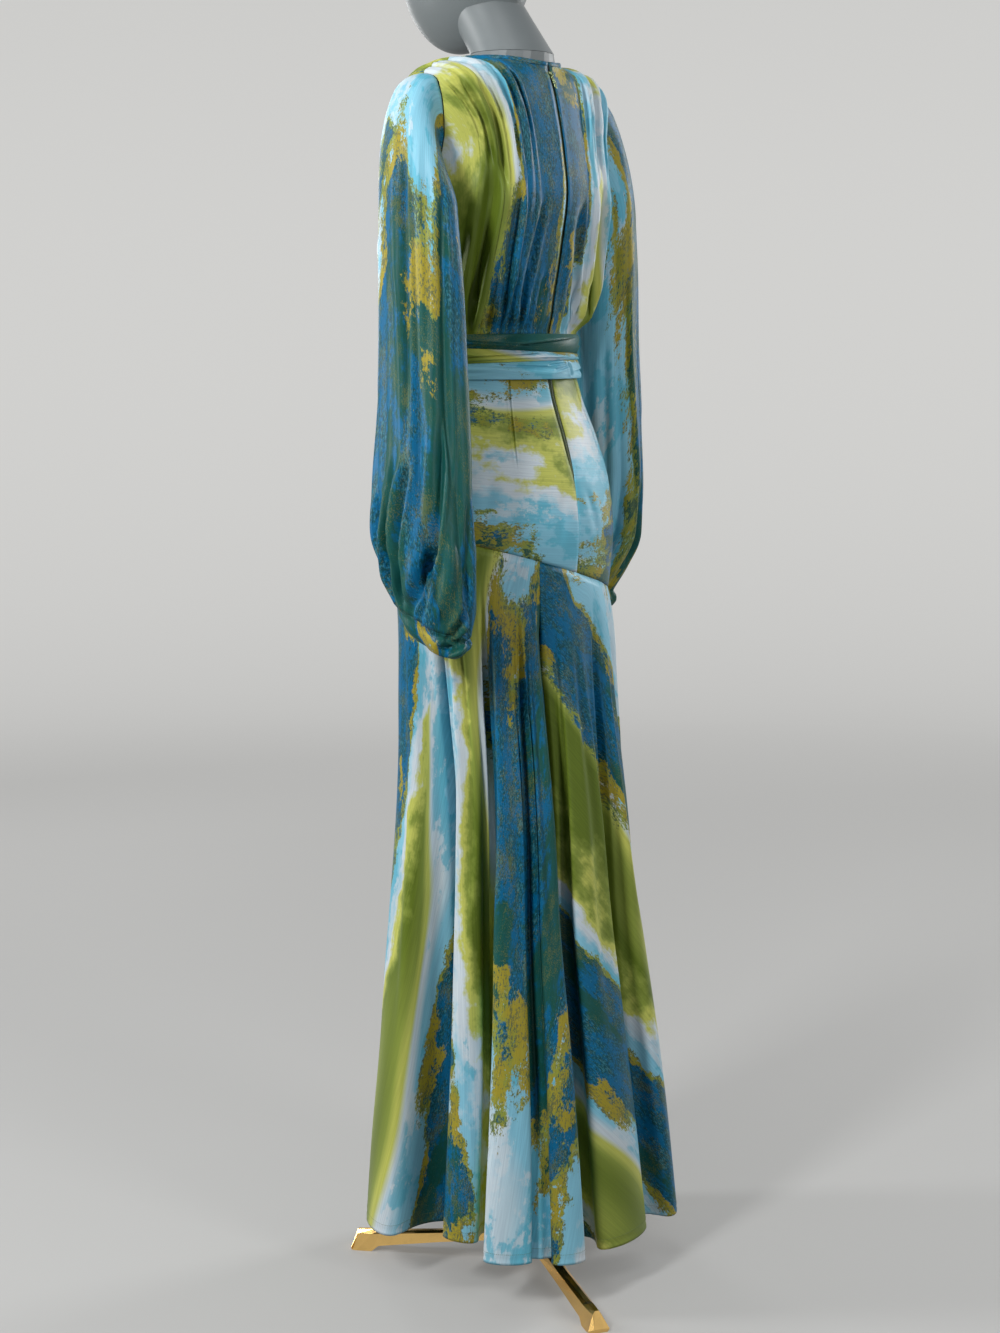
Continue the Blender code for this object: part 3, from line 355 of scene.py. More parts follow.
def crease_table(*rows):
    """Creases, from rows that give the bend, width and depth in millimetres."""
    return tuple(Crease(*row[:4], *(size / 1000 for size in row[4:7]), *row[7:]) for row in rows)


BODICE_CREASES = crease_table(  # across: degrees round the waist from the centre back; up: height
    (66, 1.566, 63, 1.490, 2, 4.2, 5.0, 0.3),
    (60, 1.572, 57, 1.455, 3, 4.6, 7.0, 0.4),
    (51.5, 1.580, 49, 1.430, 3, 4.6, 7.8, 0.4),
    (47, 1.584, 46, 1.510, 1, 4.0, 5.6, 0.3),
    (38, 1.589, 37, 1.465, 2, 4.2, 6.8, 0.4),
    (33, 1.591, 33, 1.530, 0, 3.6, 4.0, 0.2),
    (25, 1.594, 24, 1.500, 0, 3.6, 4.4, 0.3),
    (58, 1.256, 56, 1.475, -3, 10.0, 12.0, -0.4),
    (40, 1.256, 39, 1.455, 3, 8.0, 10.4, -0.5),
    (26, 1.256, 11, 1.430, -4, 6.6, 9.0, -0.5),
    (48, 1.256, 49, 1.340, 2, 5.0, 4.8),
    (33, 1.256, 32, 1.330, -2, 4.4, 4.0),
    (70, 1.256, 73, 1.400, -3, 8.0, 7.0, 0.3),
    (14, 1.256, 8, 1.340, 2, 4.4, 4.0),
    (20, 1.256, 17, 1.300, 0, 3.6, 2.6),
)
FRONT_CREASES = crease_table(
    (127, 1.575, 140, 1.450, -6, 7.5, 7.6, 0.3),
    (136, 1.583, 145, 1.470, -4, 6.0, 5.6, 0.2),
    (150, 1.585, 152, 1.500, 2, 4.6, 3.0),
    (233, 1.575, 221, 1.440, 6, 7.5, 7.2, -0.3),
    (224, 1.583, 214, 1.480, 3, 5.6, 5.0, -0.2),
    (210, 1.585, 209, 1.510, 2, 4.4, 2.8),
    (120, 1.256, 128, 1.400, 4, 9.0, 9.4, 0.3),
    (138, 1.256, 140, 1.350, -3, 6.5, 6.0, -0.3),
    (152, 1.256, 148, 1.390, -3, 7.0, 6.6, 0.3),
    (172, 1.256, 170, 1.320, 1, 4.4, 2.8),
    (190, 1.256, 194, 1.360, 3, 5.8, 4.4, -0.3),
    (207, 1.256, 210, 1.400, 2, 7.4, 7.0, 0.3),
    (226, 1.256, 222, 1.380, -4, 6.6, 6.0, -0.3),
    (244, 1.256, 238, 1.400, 3, 9.0, 9.0, 0.3),
)
LEFT_SLEEVE_CREASES = crease_table(  # across: degrees from the sleeve's outer side to its back; up: height
    (12, 1.53, 4, 1.05, 3, 6.2, 6.6, -0.5),
    (74, 1.44, 66, 1.06, -5, 9.0, 9.2, -0.5),
    (40, 1.50, 34, 1.18, 3, 7.0, 3.8, 0.3),
    (118, 1.38, 122, 1.02, 3, 7.0, 5.0),
    (344, 1.36, 350, 1.04, 3, 6.5, 4.4),
    (300, 1.20, 318, 0.95, 5, 6.0, 4.0),
    (262, 1.30, 258, 1.00, 4, 6.5, 3.8),
    (206, 1.26, 214, 0.96, 3, 6.0, 3.8),
    (158, 1.34, 164, 1.02, -3, 6.5, 4.4),
    # The folds that sweep forwards into the cuff, above and below its turned-under roll.
    (52, 1.160, 8, 0.893, 12, 6.0, 12.0, -0.4),
    (46, 1.010, 352, 0.908, 4, 5.0, 9.0, -0.3),
    (60, 1.020, 24, 0.900, 12, 8.5, -5.0),
    (14, 1.120, 350, 0.915, -4, 4.4, 10.0, -0.3),
    (352, 1.110, 332, 0.915, -4, 4.4, 9.6, -0.3),
    (4, 1.060, 342, 0.912, -2, 3.4, 5.6, 0.3),
    (340, 1.050, 324, 0.914, -2, 3.4, 5.0, 0.3),
    (326, 1.080, 312, 0.935, -3, 5.5, 6.0),
    (92, 1.060, 74, 0.905, 6, 7.0, 6.0, 0.3),
    (112, 0.905, 26, 0.872, 6, 5.5, 8.5),
    (84, 0.930, 48, 0.884, 4, 5.0, 9.0, 0.2),
    (118, 1.020, 132, 0.890, 6, 7.0, 8.0, 0.3),
    (150, 1.050, 176, 0.900, 4, 6.5, 6.0),
)
RIGHT_SLEEVE_CREASES = crease_table(
    (30, 1.50, 26, 1.12, 4, 6.0, 3.4, 0.3),
    (66, 1.44, 72, 1.06, -3, 8.0, 6.0, -0.4),
    (108, 1.36, 100, 1.00, 3, 7.5, 5.6, 0.4),
    (48, 1.16, 58, 0.94, 4, 6.0, 4.4),
    (88, 1.08, 80, 0.93, 4, 6.0, 5.0, -0.3),
    (142, 1.26, 150, 0.96, 3, 6.5, 4.6),
    (12, 1.10, 20, 0.93, 3, 5.5, 3.6),
    (330, 1.36, 324, 1.00, 3, 6.5, 3.6),
    (288, 1.24, 296, 0.96, 4, 6.0, 3.6),
    (246, 1.32, 240, 1.02, 3, 6.0, 3.4),
    (184, 1.30, 190, 0.98, -3, 6.0, 4.0),
)
# Each wrap lies in laps: a lap is a crease with one side steep and the other long and gentle.
SASH_CREASES = {  # across: degrees round the waist; up: share of the wrap's own height
    "sash_lower": crease_table(
        (165, 0.98, 20, 0.66, 0, 4.0, -3.8, 0.85),
        (48, 0.92, -10, 0.60, 1, 2.2, 2.9, 0.6),
        (-19, 0.98, -21, 0.06, 1, 2.2, 4.8, 0.3),
        (-18, 0.84, 6, 0.70, 0, 1.4, 3.3),
        (-18, 0.70, -1, 0.40, 0, 1.4, 2.9),
        (110, 0.24, 40, 0.40, 0, 1.8, 1.5),
        (190, 0.20, 300, 0.80, 1, 3.6, -3.8, 0.85),
        (250, 0.80, 340, 0.30, 0, 2.4, 2.4, -0.6),
    ),
    "sash_middle": crease_table(
        (160, 0.05, 44, 0.66, 0, 4.0, -4.9, -0.85),
        (112, 0.16, -4, 0.96, 1, 4.4, -5.2, -0.85),
        (74, 0.06, -28, 0.52, 0, 3.6, -4.6, -0.85),
        (140, 0.70, 66, 0.94, 0, 2.2, 3.1, 0.6),
        (165, 0.86, 290, 0.20, 1, 4.0, -4.6, 0.85),
        (230, 0.90, 330, 0.50, 0, 2.8, 2.9, -0.6),
    ),
    "sash_upper": crease_table(
        (152, 0.34, 48, 0.10, 0, 3.6, -4.3, 0.85),
        (90, 0.62, 6, 0.24, 1, 3.2, -3.8, 0.8),
        (44, 0.10, -32, 0.86, -2, 4.0, -5.8, -0.85),
        (124, 0.68, 58, 0.80, 0, 2.0, 2.0),
        (175, 0.20, 300, 0.74, 1, 3.6, -4.3, -0.85),
        (240, 0.84, 325, 0.40, 0, 2.6, 2.6, 0.6),
    ),
}
YOKE_CREASES = crease_table(  # across: degrees round the hips; up: height
    (31, 1.215, 33, 1.085, 1, 1.5, 2.6, 0.4),
    (329, 1.215, 327, 1.085, -1, 1.5, 2.6, -0.4),
    (146, 1.210, 142, 1.110, 1, 1.5, 2.2, 0.4),
    (214, 1.210, 218, 1.110, -1, 1.5, 2.2, -0.4),
    (8, 1.060, 12, 0.985, 2, 6.0, 1.4),
    (352, 1.060, 346, 0.995, -2, 6.0, 1.2),
    (46, 1.085, 50, 1.010, 2, 8.0, 1.2),
)
SKIRT_CREASES = crease_table(  # across: degrees round the hem; up: height
    (20, 0.93, 20, 0.10, 0, 5.9, 13.0),
    (40, 0.92, 40, 0.16, 2, 5.1, 14.3),
    (68, 0.95, 68, 0.08, 0, 5.9, 18.2),
    (101, 0.96, 101, 0.08, 0, 6.8, 16.9),
    (160, 0.92, 160, 0.12, 3, 5.9, 14.3),
    (188, 0.90, 188, 0.10, -2, 5.9, 15.6),
    (214, 0.88, 214, 0.08, 0, 6.4, 16.9),
    (244, 0.87, 244, 0.12, 2, 5.5, 14.3),
    (270, 0.87, 270, 0.08, 0, 5.9, 15.6),
    (304, 0.88, 304, 0.14, -2, 5.5, 14.3),
    (327, 0.90, 327, 0.12, 0, 5.5, 14.3),
    (30, 0.90, 29, 0.42, 4, 6.6, 4.9, -0.4),
    (52, 0.86, 50, 0.36, 3, 7.7, 4.6, 0.4),
    (85, 0.92, 84, 0.50, -4, 6.6, 4.9, 0.4),
    (128, 0.92, 126, 0.30, 4, 8.8, 5.7, 0.4),
    (148, 0.90, 150, 0.46, 4, 7.7, 4.9, 0.4),
    (174, 0.86, 173, 0.40, -3, 7.7, 4.9, 0.4),
    (200, 0.86, 203, 0.36, 4, 7.7, 5.3, 0.4),
    (230, 0.84, 228, 0.44, 3, 7.7, 4.9, -0.4),
    (257, 0.84, 255, 0.40, -3, 7.2, 4.6, -0.4),
    (288, 0.84, 290, 0.30, 4, 7.7, 5.3, -0.4),
    (316, 0.86, 314, 0.44, 3, 7.2, 4.6, -0.4),
    (352, 0.88, 354, 0.30, -4, 7.7, 5.3, -0.4),
    (5, 0.90, 8, 0.50, 3, 6.6, 4.2, -0.4),
)

# Where each piece is cut from the printed cloth, as the turn of its grain in degrees and its place there,
# and then the flat piece as cut: its width, length and area before it is gathered, hung or stretched.
Cut = namedtuple("Cut", "grain across along width length area held")
CUTS = {
    "bodice_back_left": Cut(0, 7.66, 0.80, 0.310, 0.430, 0.0957, "gathered"),
    "bodice_back_right": Cut(0, 7.26, 0.80, 0.310, 0.430, 0.0937, "gathered"),
    "bodice_front": Cut(0, 6.10, 0.90, 0.620, 0.455, 0.1792, "gathered"),
    "neck_binding": Cut(88, 7.72, 0.30, 0.510, 0.010, 0.0030, "stretched"),
    "sleeve_left": Cut(2, 6.08, 1.40, 0.420, 0.700, 0.2270, "hung"),
    "sleeve_right": Cut(-3, 8.24, 1.30, 0.370, 0.700, 0.2010, "hung"),
    "cuff_left": Cut(2, 6.08, 1.40, 0.310, 0.040, 0.0083, "gathered"),
    "cuff_right": Cut(-3, 8.24, 1.30, 0.220, 0.037, 0.0059, "gathered"),
    "sash_lower": Cut(84, 8.50, 0.34, 0.740, 0.027, 0.0182, "stretched"),
    "sash_middle": Cut(76, 7.74, 0.36, 0.740, 0.030, 0.0213, "stretched"),
    "sash_upper": Cut(100, 7.19, 0.40, 0.740, 0.028, 0.0195, "stretched"),
    "yoke_back_left": Cut(86, 7.28, 0.90, 0.240, 0.290, 0.0540, "stretched"),
    "yoke_back_right": Cut(86, 7.28, -0.16, 0.240, 0.330, 0.0660, "stretched"),
    "yoke_front": Cut(88, 7.10, 0.10, 0.455, 0.325, 0.1100, "stretched"),
    "skirt_back_left": Cut(-6, 6.50, 1.25, 0.570, 0.940, 0.3700, "hung"),
    "skirt_front": Cut(5, 8.55, 1.20, 1.205, 0.940, 0.8100, "hung"),
    "skirt_back_right": Cut(34, 7.60, 1.00, 0.720, 0.910, 0.4500, "hung"),
}


# ---------------------------------------------------------------- curves and surfaces
def smooth_through(knots, values):
    """A function that passes smoothly through the values and never overshoots between them."""
    x, y = np.array(knots, float), np.array(values, float)
    step = np.diff(x)
    slope = np.diff(y) / step
    tangent = np.concatenate([slope[:1], np.zeros(len(slope) - 1), slope[-1:]])
    for i in range(1, len(slope)):
        before, after = slope[i - 1], slope[i]
        if before * after > 0:
            tangent[i] = 2 * before * after / (before + after)

    def at(where):
        where = np.clip(np.asarray(where, float), x[0], x[-1])
        i = np.clip(np.searchsorted(x, where) - 1, 0, len(step) - 1)
        u = (where - x[i]) / step[i]
        ends = (1 + 2 * u) * (1 - u) ** 2 * y[i] + u * u * (3 - 2 * u) * y[i + 1]
        pulls = u * (1 - u) ** 2 * tangent[i] + u * u * (u - 1) * tangent[i + 1]
        return ends + pulls * step[i]

    return at


def column_of(table, knot, value):
    """The named column of a table as a smooth function of its knot column."""
    rows = sorted(table, key=lambda row: getattr(row, knot))
    return smooth_through([getattr(row, knot) for row in rows], [getattr(row, value) for row in rows])


class Body:
    """A body of oval cross-sections, taken from a table of Section rows."""

    def __init__(self, table):
        self.half_width = column_of(table, "height", "half_width")
        self.back = column_of(table, "height", "back")
        self.front = column_of(table, "height", "front")
        self.centre = column_of(table, "height", "centre")

    def point(self, angle, height, out=0.0):
        """The point at an angle and height, moved outwards along the surface's normal."""
        turn = np.radians(angle)
        behind = np.cos(turn) >= 0
        nudge = 1e-4

        def oval(at):
            """Half the width and depth of the section at this height, and its centre."""
            return self.half_width(at), np.where(behind, self.back(at), self.front(at)), self.centre(at)

        a, b, c = oval(height)
        a_up, b_up, c_up = (up - low for up, low in zip(oval(height + nudge), oval(height - nudge)))
        x, y = a * np.sin(turn), b * np.cos(turn)
        steep = x * x * a_up / a**3 + y * y * b_up / b**3 + y * c_up / b**2
        normal = np.stack([x / a**2, y / b**2, -steep / (2 * nudge)], -1)
        normal /= np.linalg.norm(normal, axis=-1, keepdims=True)
        spot = np.stack([x, y + c, np.broadcast_to(height, np.shape(x))], -1)
        return spot + normal * np.asarray(out)[..., None]


form = Body(FORM)
skirt_line = Body(SKIRT)
flute_share = column_of(SKIRT_FLUTE, "height", "share")
flute_overhang = column_of(SKIRT_FLUTE, "height", "overhang")
bodice_room = column_of(BODICE_EASE, "column", "room")
blouse_share = column_of(BODICE_BLOUSE, "height", "share")
pleat_depth = column_of(BODICE_BLOUSE, "height", "pleat")


def stand_origin():
    """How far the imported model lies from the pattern's own origin, found from the pole."""
    low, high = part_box("stand_pole")
    return np.array([(low.x + high.x) / 2, (low.y + high.y) / 2 - HUB_Y, 0.0])


ORIGIN = stand_origin()


def ramp(past, length):
    """0 up to past = 0, and from there straight up to 1 over this length."""
    return np.clip(past / length, 0, 1)


def eased(share):
    """A share from 0 to 1 with a soft start and a soft end."""
    return share * share * (3 - 2 * share)


def wave(place, starts, values):
    """(value of the wave that place lies in, its share from one valley to the next)."""
    place = np.asarray(place, float)
    starts = np.array(starts, float)
    which = np.clip(np.searchsorted(starts, place, side="right") - 1, 0, len(starts) - 2)
    share = (place - starts[which]) / (starts[which + 1] - starts[which])
    return np.array(values, float)[which], share


def facing(grid, closed=False):
    """The outward direction at each point of a grid whose columns may close on themselves."""
    up = np.gradient(grid, axis=0)
    if closed:
        along = np.roll(grid, -1, 1) - np.roll(grid, 1, 1)
    else:
        along = np.gradient(grid, axis=1)
    out = np.cross(up, along)
    return out / np.maximum(np.linalg.norm(out, axis=-1, keepdims=True), 1e-12)


def crease_depth(across, up, creases, degree, unit_up=1.0, round_again=True):
    """How far creases sink at each place. Degree and unit_up are the lengths of one unit across and up."""
    depth = np.zeros(np.broadcast(across, up).shape)
    for crease in creases:
        aside = across - crease.across
        run = crease.to_across - crease.across
        if round_again:
            aside = (aside + 180) % 360 - 180
            run = (run + 180) % 360 - 180
        aside, high = aside * degree, (up - crease.up) * unit_up
        run, rise = run * degree, (crease.to_up - crease.up) * unit_up
        length = math.hypot(run, rise)
        share = (aside * run + high * rise) / length**2
        off = (high * run - aside * rise) / length - crease.bend * 4 * share * (1 - share)
        ends = eased(np.clip(np.minimum(share, 1 - share) * 4 + 0.04, 0, 1))
        width = crease.width * (1 + crease.steep * np.sign(off)) * (0.7 + 0.3 * ends)
        trough = np.exp(-((off / width) ** 2))
        # The cloth that a trough draws in stands up in a lip on each side of it.
        lips = np.exp(-(((np.abs(off) - LIP_PLACE * width) / (LIP_WIDTH * width)) ** 2))
        depth += crease.depth * ends * (trough - LIP_HEIGHT * lips)
    return depth * sizes().crease


def arc_lengths(line):
    """Distance of each point of a line of points from its first."""
    return np.concatenate([[0], np.cumsum(np.linalg.norm(np.diff(line, axis=0), axis=1))])


def round_lengths(ring):
    """Distance along a ring of points, from its first and back to it."""
    return arc_lengths(np.concatenate([ring, ring[:1]]))


def column_lengths(grid):
    """Distance of each point of a grid from the first of its column."""
    return np.stack([arc_lengths(grid[:, j]) for j in range(grid.shape[1])], 1)


def point_along(line, steps, where):
    """The point at a distance along a line of points whose own distances are the steps."""
    return np.array([np.interp(where, steps, line[:, i]) for i in range(3)])


# ---------------------------------------------------------------- bodice
def ridge_height(half_width):
    """Height of the shoulder line at a distance from the centre."""
    heights = np.linspace(*SHOULDER_LINE, 400)
    return np.interp(-half_width, -form.half_width(heights), heights)


def armhole(share):
    """(distance from the centre, height) on the armhole, from the shoulder tip (0) to the underarm (1)."""
    top = float(ridge_height(SHOULDER_TIP))
    side = float(form.half_width(UNDERARM))
    width = SHOULDER_TIP + (BACK_WIDTH - SHOULDER_TIP) * min(1.0, 2 * share) ** 2
    width += (side - BACK_WIDTH) * max(0.0, 2 * share - 1) ** 1.7
    return width, (top + UNDERARM) / 2 + (top - UNDERARM) / 2 * math.cos(math.pi * share)


def bodice_top(column, in_front):
    """(distance from the centre, height) where a column of the bodice ends at its top edge."""
    if column <= NECK_COLUMN:
        turn = math.radians(90 * column / NECK_COLUMN)
        drop = FRONT_NECK_DROP if in_front else 0.0
        return NECK_HALF * math.sin(turn), NECK_SIDE - NECK_TRIM - drop * math.cos(turn) ** 1.6
    if column <= TIP_COLUMN:
        share = (column - NECK_COLUMN) / (TIP_COLUMN - NECK_COLUMN)
        half = NECK_HALF + (SHOULDER_TIP - NECK_HALF) * share
        return half, float(ridge_height(half))
    return armhole((column - TIP_COLUMN) / (90 - TIP_COLUMN))


def bodice_column(column, in_front, rows=BODICE_ROWS):
    """Points up one column of the left half, from its angle at the waist to its place at the top edge."""
    top_x, top = bodice_top(column, in_front)
    rest = np.linspace(0, 1, rows)
    height = WAIST_SEAM + (top - WAIST_SEAM) * (1 - (1 - rest) ** 1.5)
    join = min(UPPER_BACK, top)
    at_waist = math.sin(math.radians(column))
    spread = (top - UPPER_BACK) / (float(ridge_height(SHOULDER_TIP)) - UPPER_BACK)
    join_x = top_x * (1 - SHOULDER_SPREAD * min(1.0, max(0.0, spread)))
    at_join = min(1.0, join_x / float(form.half_width(join)))
    lower = at_waist + (at_join - at_waist) * eased(ramp(height - WAIST_SEAM, join - WAIST_SEAM))
    climb = ramp(height - join, max(top - join, 1e-6)) ** 2.2
    upper = (join_x + (top_x - join_x) * climb) / form.half_width(height)
    share = np.where(height <= join, lower, upper)
    angle = np.degrees(np.arcsin(np.clip(share, 0, 1)))
    size, phase = wave(column, [p.start for p in PLEATS], [p.depth for p in PLEATS])
    inside = PLEATS[0].start <= column <= PLEATS[-1].start
    pleat = size * math.sin(math.pi * phase) ** 0.65 if inside else 0.0
    # Pleats are deepest beside the seams that hold them, and no two rise alike.
    held = 2.2 * ramp(height - SHOULDER_HOLD, 0.10) ** 1.3 + ramp(WAIST_HOLD - height, 0.07)
    pleat = pleat * (0.22 + held) * (1 + 0.3 * np.sin(height * 31 + column * 0.9))
    flat_edge = 0.0 if column > TIP_COLUMN else 0.7
    fade = np.clip((top - height) / 0.05, flat_edge, 1)
    out = BODICE_ROOM + bodice_room(column) * blouse_share(height) + pleat * pleat_depth(height) * fade
    return form.point(180 - angle if in_front else angle, height, out)


def bodice_columns():
    """Columns of half a bodice, close together where it is gathered."""
    columns = list(np.linspace(0, PLEATS[0].start, 14, endpoint=False))
    for first, last in zip(PLEATS, PLEATS[1:]):
        columns += list(np.linspace(first.start, last.start, 10, endpoint=False))
    return columns + list(np.linspace(PLEATS[-1].start, 90, 10))


def bodice_edge(in_front):
    """Points along half the neckline, from the centre to the neck side."""
    return [bodice_column(c, in_front, rows=6)[-1] for c in np.linspace(0, NECK_COLUMN, BINDING_ROUND)]


# ---------------------------------------------------------------- skirt and yoke
def hip_seam(angle):
    """Height of the seam between yoke and skirt."""
    return HIP_SEAM + HIP_SEAM_RISE * np.cos(np.radians(angle - HIP_SEAM_HIGH))


def hem(angle):
    """Height of the skirt's lower edge."""
    return HEM + HEM_RISE * np.cos(np.radians(angle - HEM_HIGH))


def yoke_out(share):
    """How far the yoke's outside lies from the form, from the hip seam (0) to the waist (1)."""
    return YOKE_ROOM - YOKE_PULL * share


def flute_starts():
    """The angle at which each flute starts, and the first again after a whole turn."""
    return [flute.start for flute in FLUTES] + [FLUTES[0].start + 360]


def fanned(angle, climb):
    """The angle at which a column of the skirt lies on its way up, from the hem (0) to the top (1)."""
    return angle - FAN * climb * np.sin(np.radians(angle - FAN_CENTRE))


def skirt_point(angle, share):
    """A point of the skirt, from the hip seam (share 0) to the hem (share 1)."""
    top = fanned(angle, 1)
    low, high = hem(angle), hip_seam(top)
    height = high + (low - high) * share
    starts = flute_starts()
    crest, phase = wave(angle, starts, [flute.crest for flute in FLUTES] + [0.0])
    valley = np.interp(angle, starts, [flute.valley for flute in FLUTES] + [FLUTES[0].valley])
    valley = valley * VALLEY_DEEPER
    turn = 2 * np.pi * phase
    full = np.maximum((1 - np.cos(turn)) / 2, 1e-6) ** 0.78
    inwards = flute_share(height) * (valley + (crest - valley) * full)
    width, _ = wave(angle, starts, list(np.diff(starts)) + [0.0])
    swing = FOLD_OVER * flute_overhang(height) * width / 2 * (np.sin(2 * turn) - 0.35 * np.sin(turn))
    hung = skirt_line.point(fanned(angle, 1 - share) + swing, height)
    ray = hung - np.stack([np.zeros_like(height), skirt_line.centre(height), height], -1)
    ray[..., 2] = 0
    ray /= np.linalg.norm(ray, axis=-1, keepdims=True)
    fit = ramp(height - high + HIP_SEAM_FIT, HIP_SEAM_FIT) ** 2
    to_seam = form.point(top, high, yoke_out(0)) - skirt_line.point(top, high)
    return hung - ray * inwards[..., None] + to_seam * fit[..., None]


# ---------------------------------------------------------------- sleeves and cuffs
def armhole_edge(psi):
    """Points just beyond the bodice's edge round the left armhole."""
    half = np.where(psi <= 180, psi, 360 - psi)
    columns = TIP_COLUMN + (90 - TIP_COLUMN) * half / 180
    edge = np.array([bodice_column(c, turn > 180, rows=6)[-1] for c, turn in zip(columns, psi)])
    along = np.roll(edge, -1, 0) - np.roll(edge, 1, 0)
    middle = form.centre(edge[:, 2])
    # The direction outwards is that of an upright oval, which turns upwards over the shoulder.
    out = np.stack([edge[:, 0] / 0.15**2, (edge[:, 1] - middle) / 0.09**2, 0 * middle], -1)
    out[:, 2] = np.clip((edge[:, 2] - 1.50) / 0.05, 0, 2) * np.linalg.norm(out, axis=1)
    away = np.cross(along, out)
    away /= np.linalg.norm(away, axis=1, keepdims=True)
    return edge + away * SEAM_GAP


def hanging_ring(ring, psi, swirl):
    """One ring of the hanging sleeve, folded in along its length and tilted towards the back."""
    turn = np.radians(psi)
    size, phase = wave((psi - swirl) % 360, list(SLEEVE_FOLDS) + [360], FOLD_SIZES)
    fold = ring.fold * size * ((np.cos(np.pi * phase) ** 2 + 0.01) ** 0.4 - 1) * 2
    x = ring.centre_x + (ring.half_x + fold) * np.cos(turn)
    y = ring.centre_y + (ring.half_y + fold) * np.sin(turn)
    return np.stack([x, y, ring.height - ring.tilt * (y - ring.centre_y)], -1)


def ring_at(table, height):
    """The sleeve's ring at a height, smoothly between the rows of its table."""
    values = [float(column_of(table, "height", name)(height)) for name in SleeveRing._fields[1:]]
    return SleeveRing(height, *values)


def sleeve_swirl(height):
    """How far the folds have turned round the sleeve near its cuff, in degrees."""
    return 26 * ramp(1.06 - height, 0.15) ** 1.5


def sleeve_head(seam, hang):
    """Rings from the armhole's seam (0) over the sleeve's head to its first hanging ring."""
    leave, arrive = seam.copy(), hang.copy()
    leave[:, 0] += HEAD_REACH + 0.5 * (hang[:, 0] - seam[:, 0])
    arrive[:, 2] += 0.5 * (seam[:, 2] - hang[:, 2])
    rings = []
    for t in np.linspace(0, 1, HEAD_ROWS):
        near = (1 - t) ** 3 * seam + 3 * t * (1 - t) ** 2 * leave
        rings.append(near + 3 * t * t * (1 - t) * arrive + t**3 * hang)
    return rings


def cuff_rings(top, psi, middle):
    """Rings of a gathered cuff below the sleeve's lowest ring."""
    narrow, back = column_of(CUFF, "fall", "narrow"), column_of(CUFF, "fall", "back")
    rings = []
    for down in np.linspace(0, CUFF[-1].fall, CUFF_ROWS)[1:]:
        turned = psi + CUFF_TWIST * down
        gathers = 0.028 * np.cos(np.radians(turned * 9)) + 0.022 * np.cos(np.radians(turned * 5 + 40))
        ripple = 1 + gathers * min(1, down / 0.006)
        ring = top.copy()
        ring[:, :2] = middle + (0, back(down)) + (top[:, :2] - middle) * (narrow(down) * ripple)[:, None]
        ring[:, 2] -= down * (1 + 0.4 * np.cos(np.radians(psi + 30)))
        rings.append(ring)
    return rings


# ---------------------------------------------------------------- sash
def sash_line(line, angle):
    """Height of the line between two wraps of the sash."""
    return line.height + line.slope * np.cos(np.radians(angle - line.lean))


# ---------------------------------------------------------------- making meshes
def make_mesh(name, points, faces):
    """A mesh from points and faces."""
    data = bpy.data.meshes.new(name)
    data.from_pydata(points, [], faces)
    return data


def add_object(name, data, material, smooth=True):
    """An object of the scene with its material, shaded smooth."""
    obj = bpy.data.objects.new(name, data)
    bpy.context.scene.collection.objects.link(obj)
    data.materials.append(material)
    if smooth:
        data.shade_smooth()
    return obj


def tie(obj, node=None, body="gown"):
    """Ties a piece to its body, and in place of a solid node where one is named."""
    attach(obj, body)
    if node:
        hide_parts(node)


def face_corners(rows, around):
    """(row, column) of the four corners of every face of a grid, in turn."""
    i, j = np.meshgrid(np.arange(rows - 1), np.arange(around), indexing="ij")
    return [(i, j), (i + 1, j), (i + 1, j + 1), (i, j + 1)]


def loft_faces(corners, columns):
    """The faces through a grid's points, whose last column is followed by its first."""
    return np.stack([(row * columns + column % columns).ravel() for row, column in corners], -1).tolist()


def printed_place(cut, across, along):
    """Where a piece's own flat coordinates lie on the printed cloth."""
    turn = math.radians(cut.grain)
    return (
        cut.across + across * math.cos(turn) - along * math.sin(turn),
        cut.along + across * math.sin(turn) + along * math.cos(turn),
    )


def cloth(name, grid, across, along, closed=False, flip=False, thickness=None):
    """A thin piece of satin through a grid of points. Across and along place each on the flat piece."""
    rows, columns = grid.shape[:2]
    around = columns if closed else columns - 1
    corners = face_corners(rows, around)
    if flip:
        corners = corners[::-1]
    data = make_mesh(name, (grid + ORIGIN).reshape(-1, 3).tolist(), loft_faces(corners, columns))
    place = printed_place(CUTS[name], np.broadcast_to(across, (rows, around + 1)), along)
    place = [np.broadcast_to(side, (rows, around + 1)) for side in place]
    uv = np.stack([np.stack([side[r, c].ravel() for side in place], -1) for r, c in corners], 1)
    layer = data.uv_layers.new(name="cloth")
    layer.data.foreach_set("uv", uv.astype(np.float32).ravel())
    obj = add_object(name + "_cloth", data, the_satin())
    shell = obj.modifiers.new("thickness", "SOLIDIFY")
    shell.thickness = thickness or sizes().cloth
    shell.offset = -1
    return obj


def finish_cloth(obj, node):
    """Ties a cloth piece to the gown, in place of its solid node."""
    tie(obj, node)


def inset_edges(grid, gaps, reach=0.024):
    """The grid with its first and last columns drawn in by the two gaps, and the next ones less and less."""
    grid = grid.copy()
    for side, gap in ((grid, gaps[0]), (grid[:, ::-1], gaps[1])):
        inward = side[:, 1] - side[:, 0]
        inward /= np.linalg.norm(inward, axis=-1, keepdims=True)
        away = np.stack([arc_lengths(row) for row in side])
        share = np.clip(1 - away / reach, 0, 1) ** 2
        side += inward[:, None] * (np.broadcast_to(gap, len(grid))[:, None] * share)[..., None]
    return grid


def seam_dip(length, reach=SEAM_REACH, depth=SEAM_DEPTH):
    """How far cloth sinks beside a seam, at each distance from it."""
    return depth * np.exp(-((length / reach) ** 2))


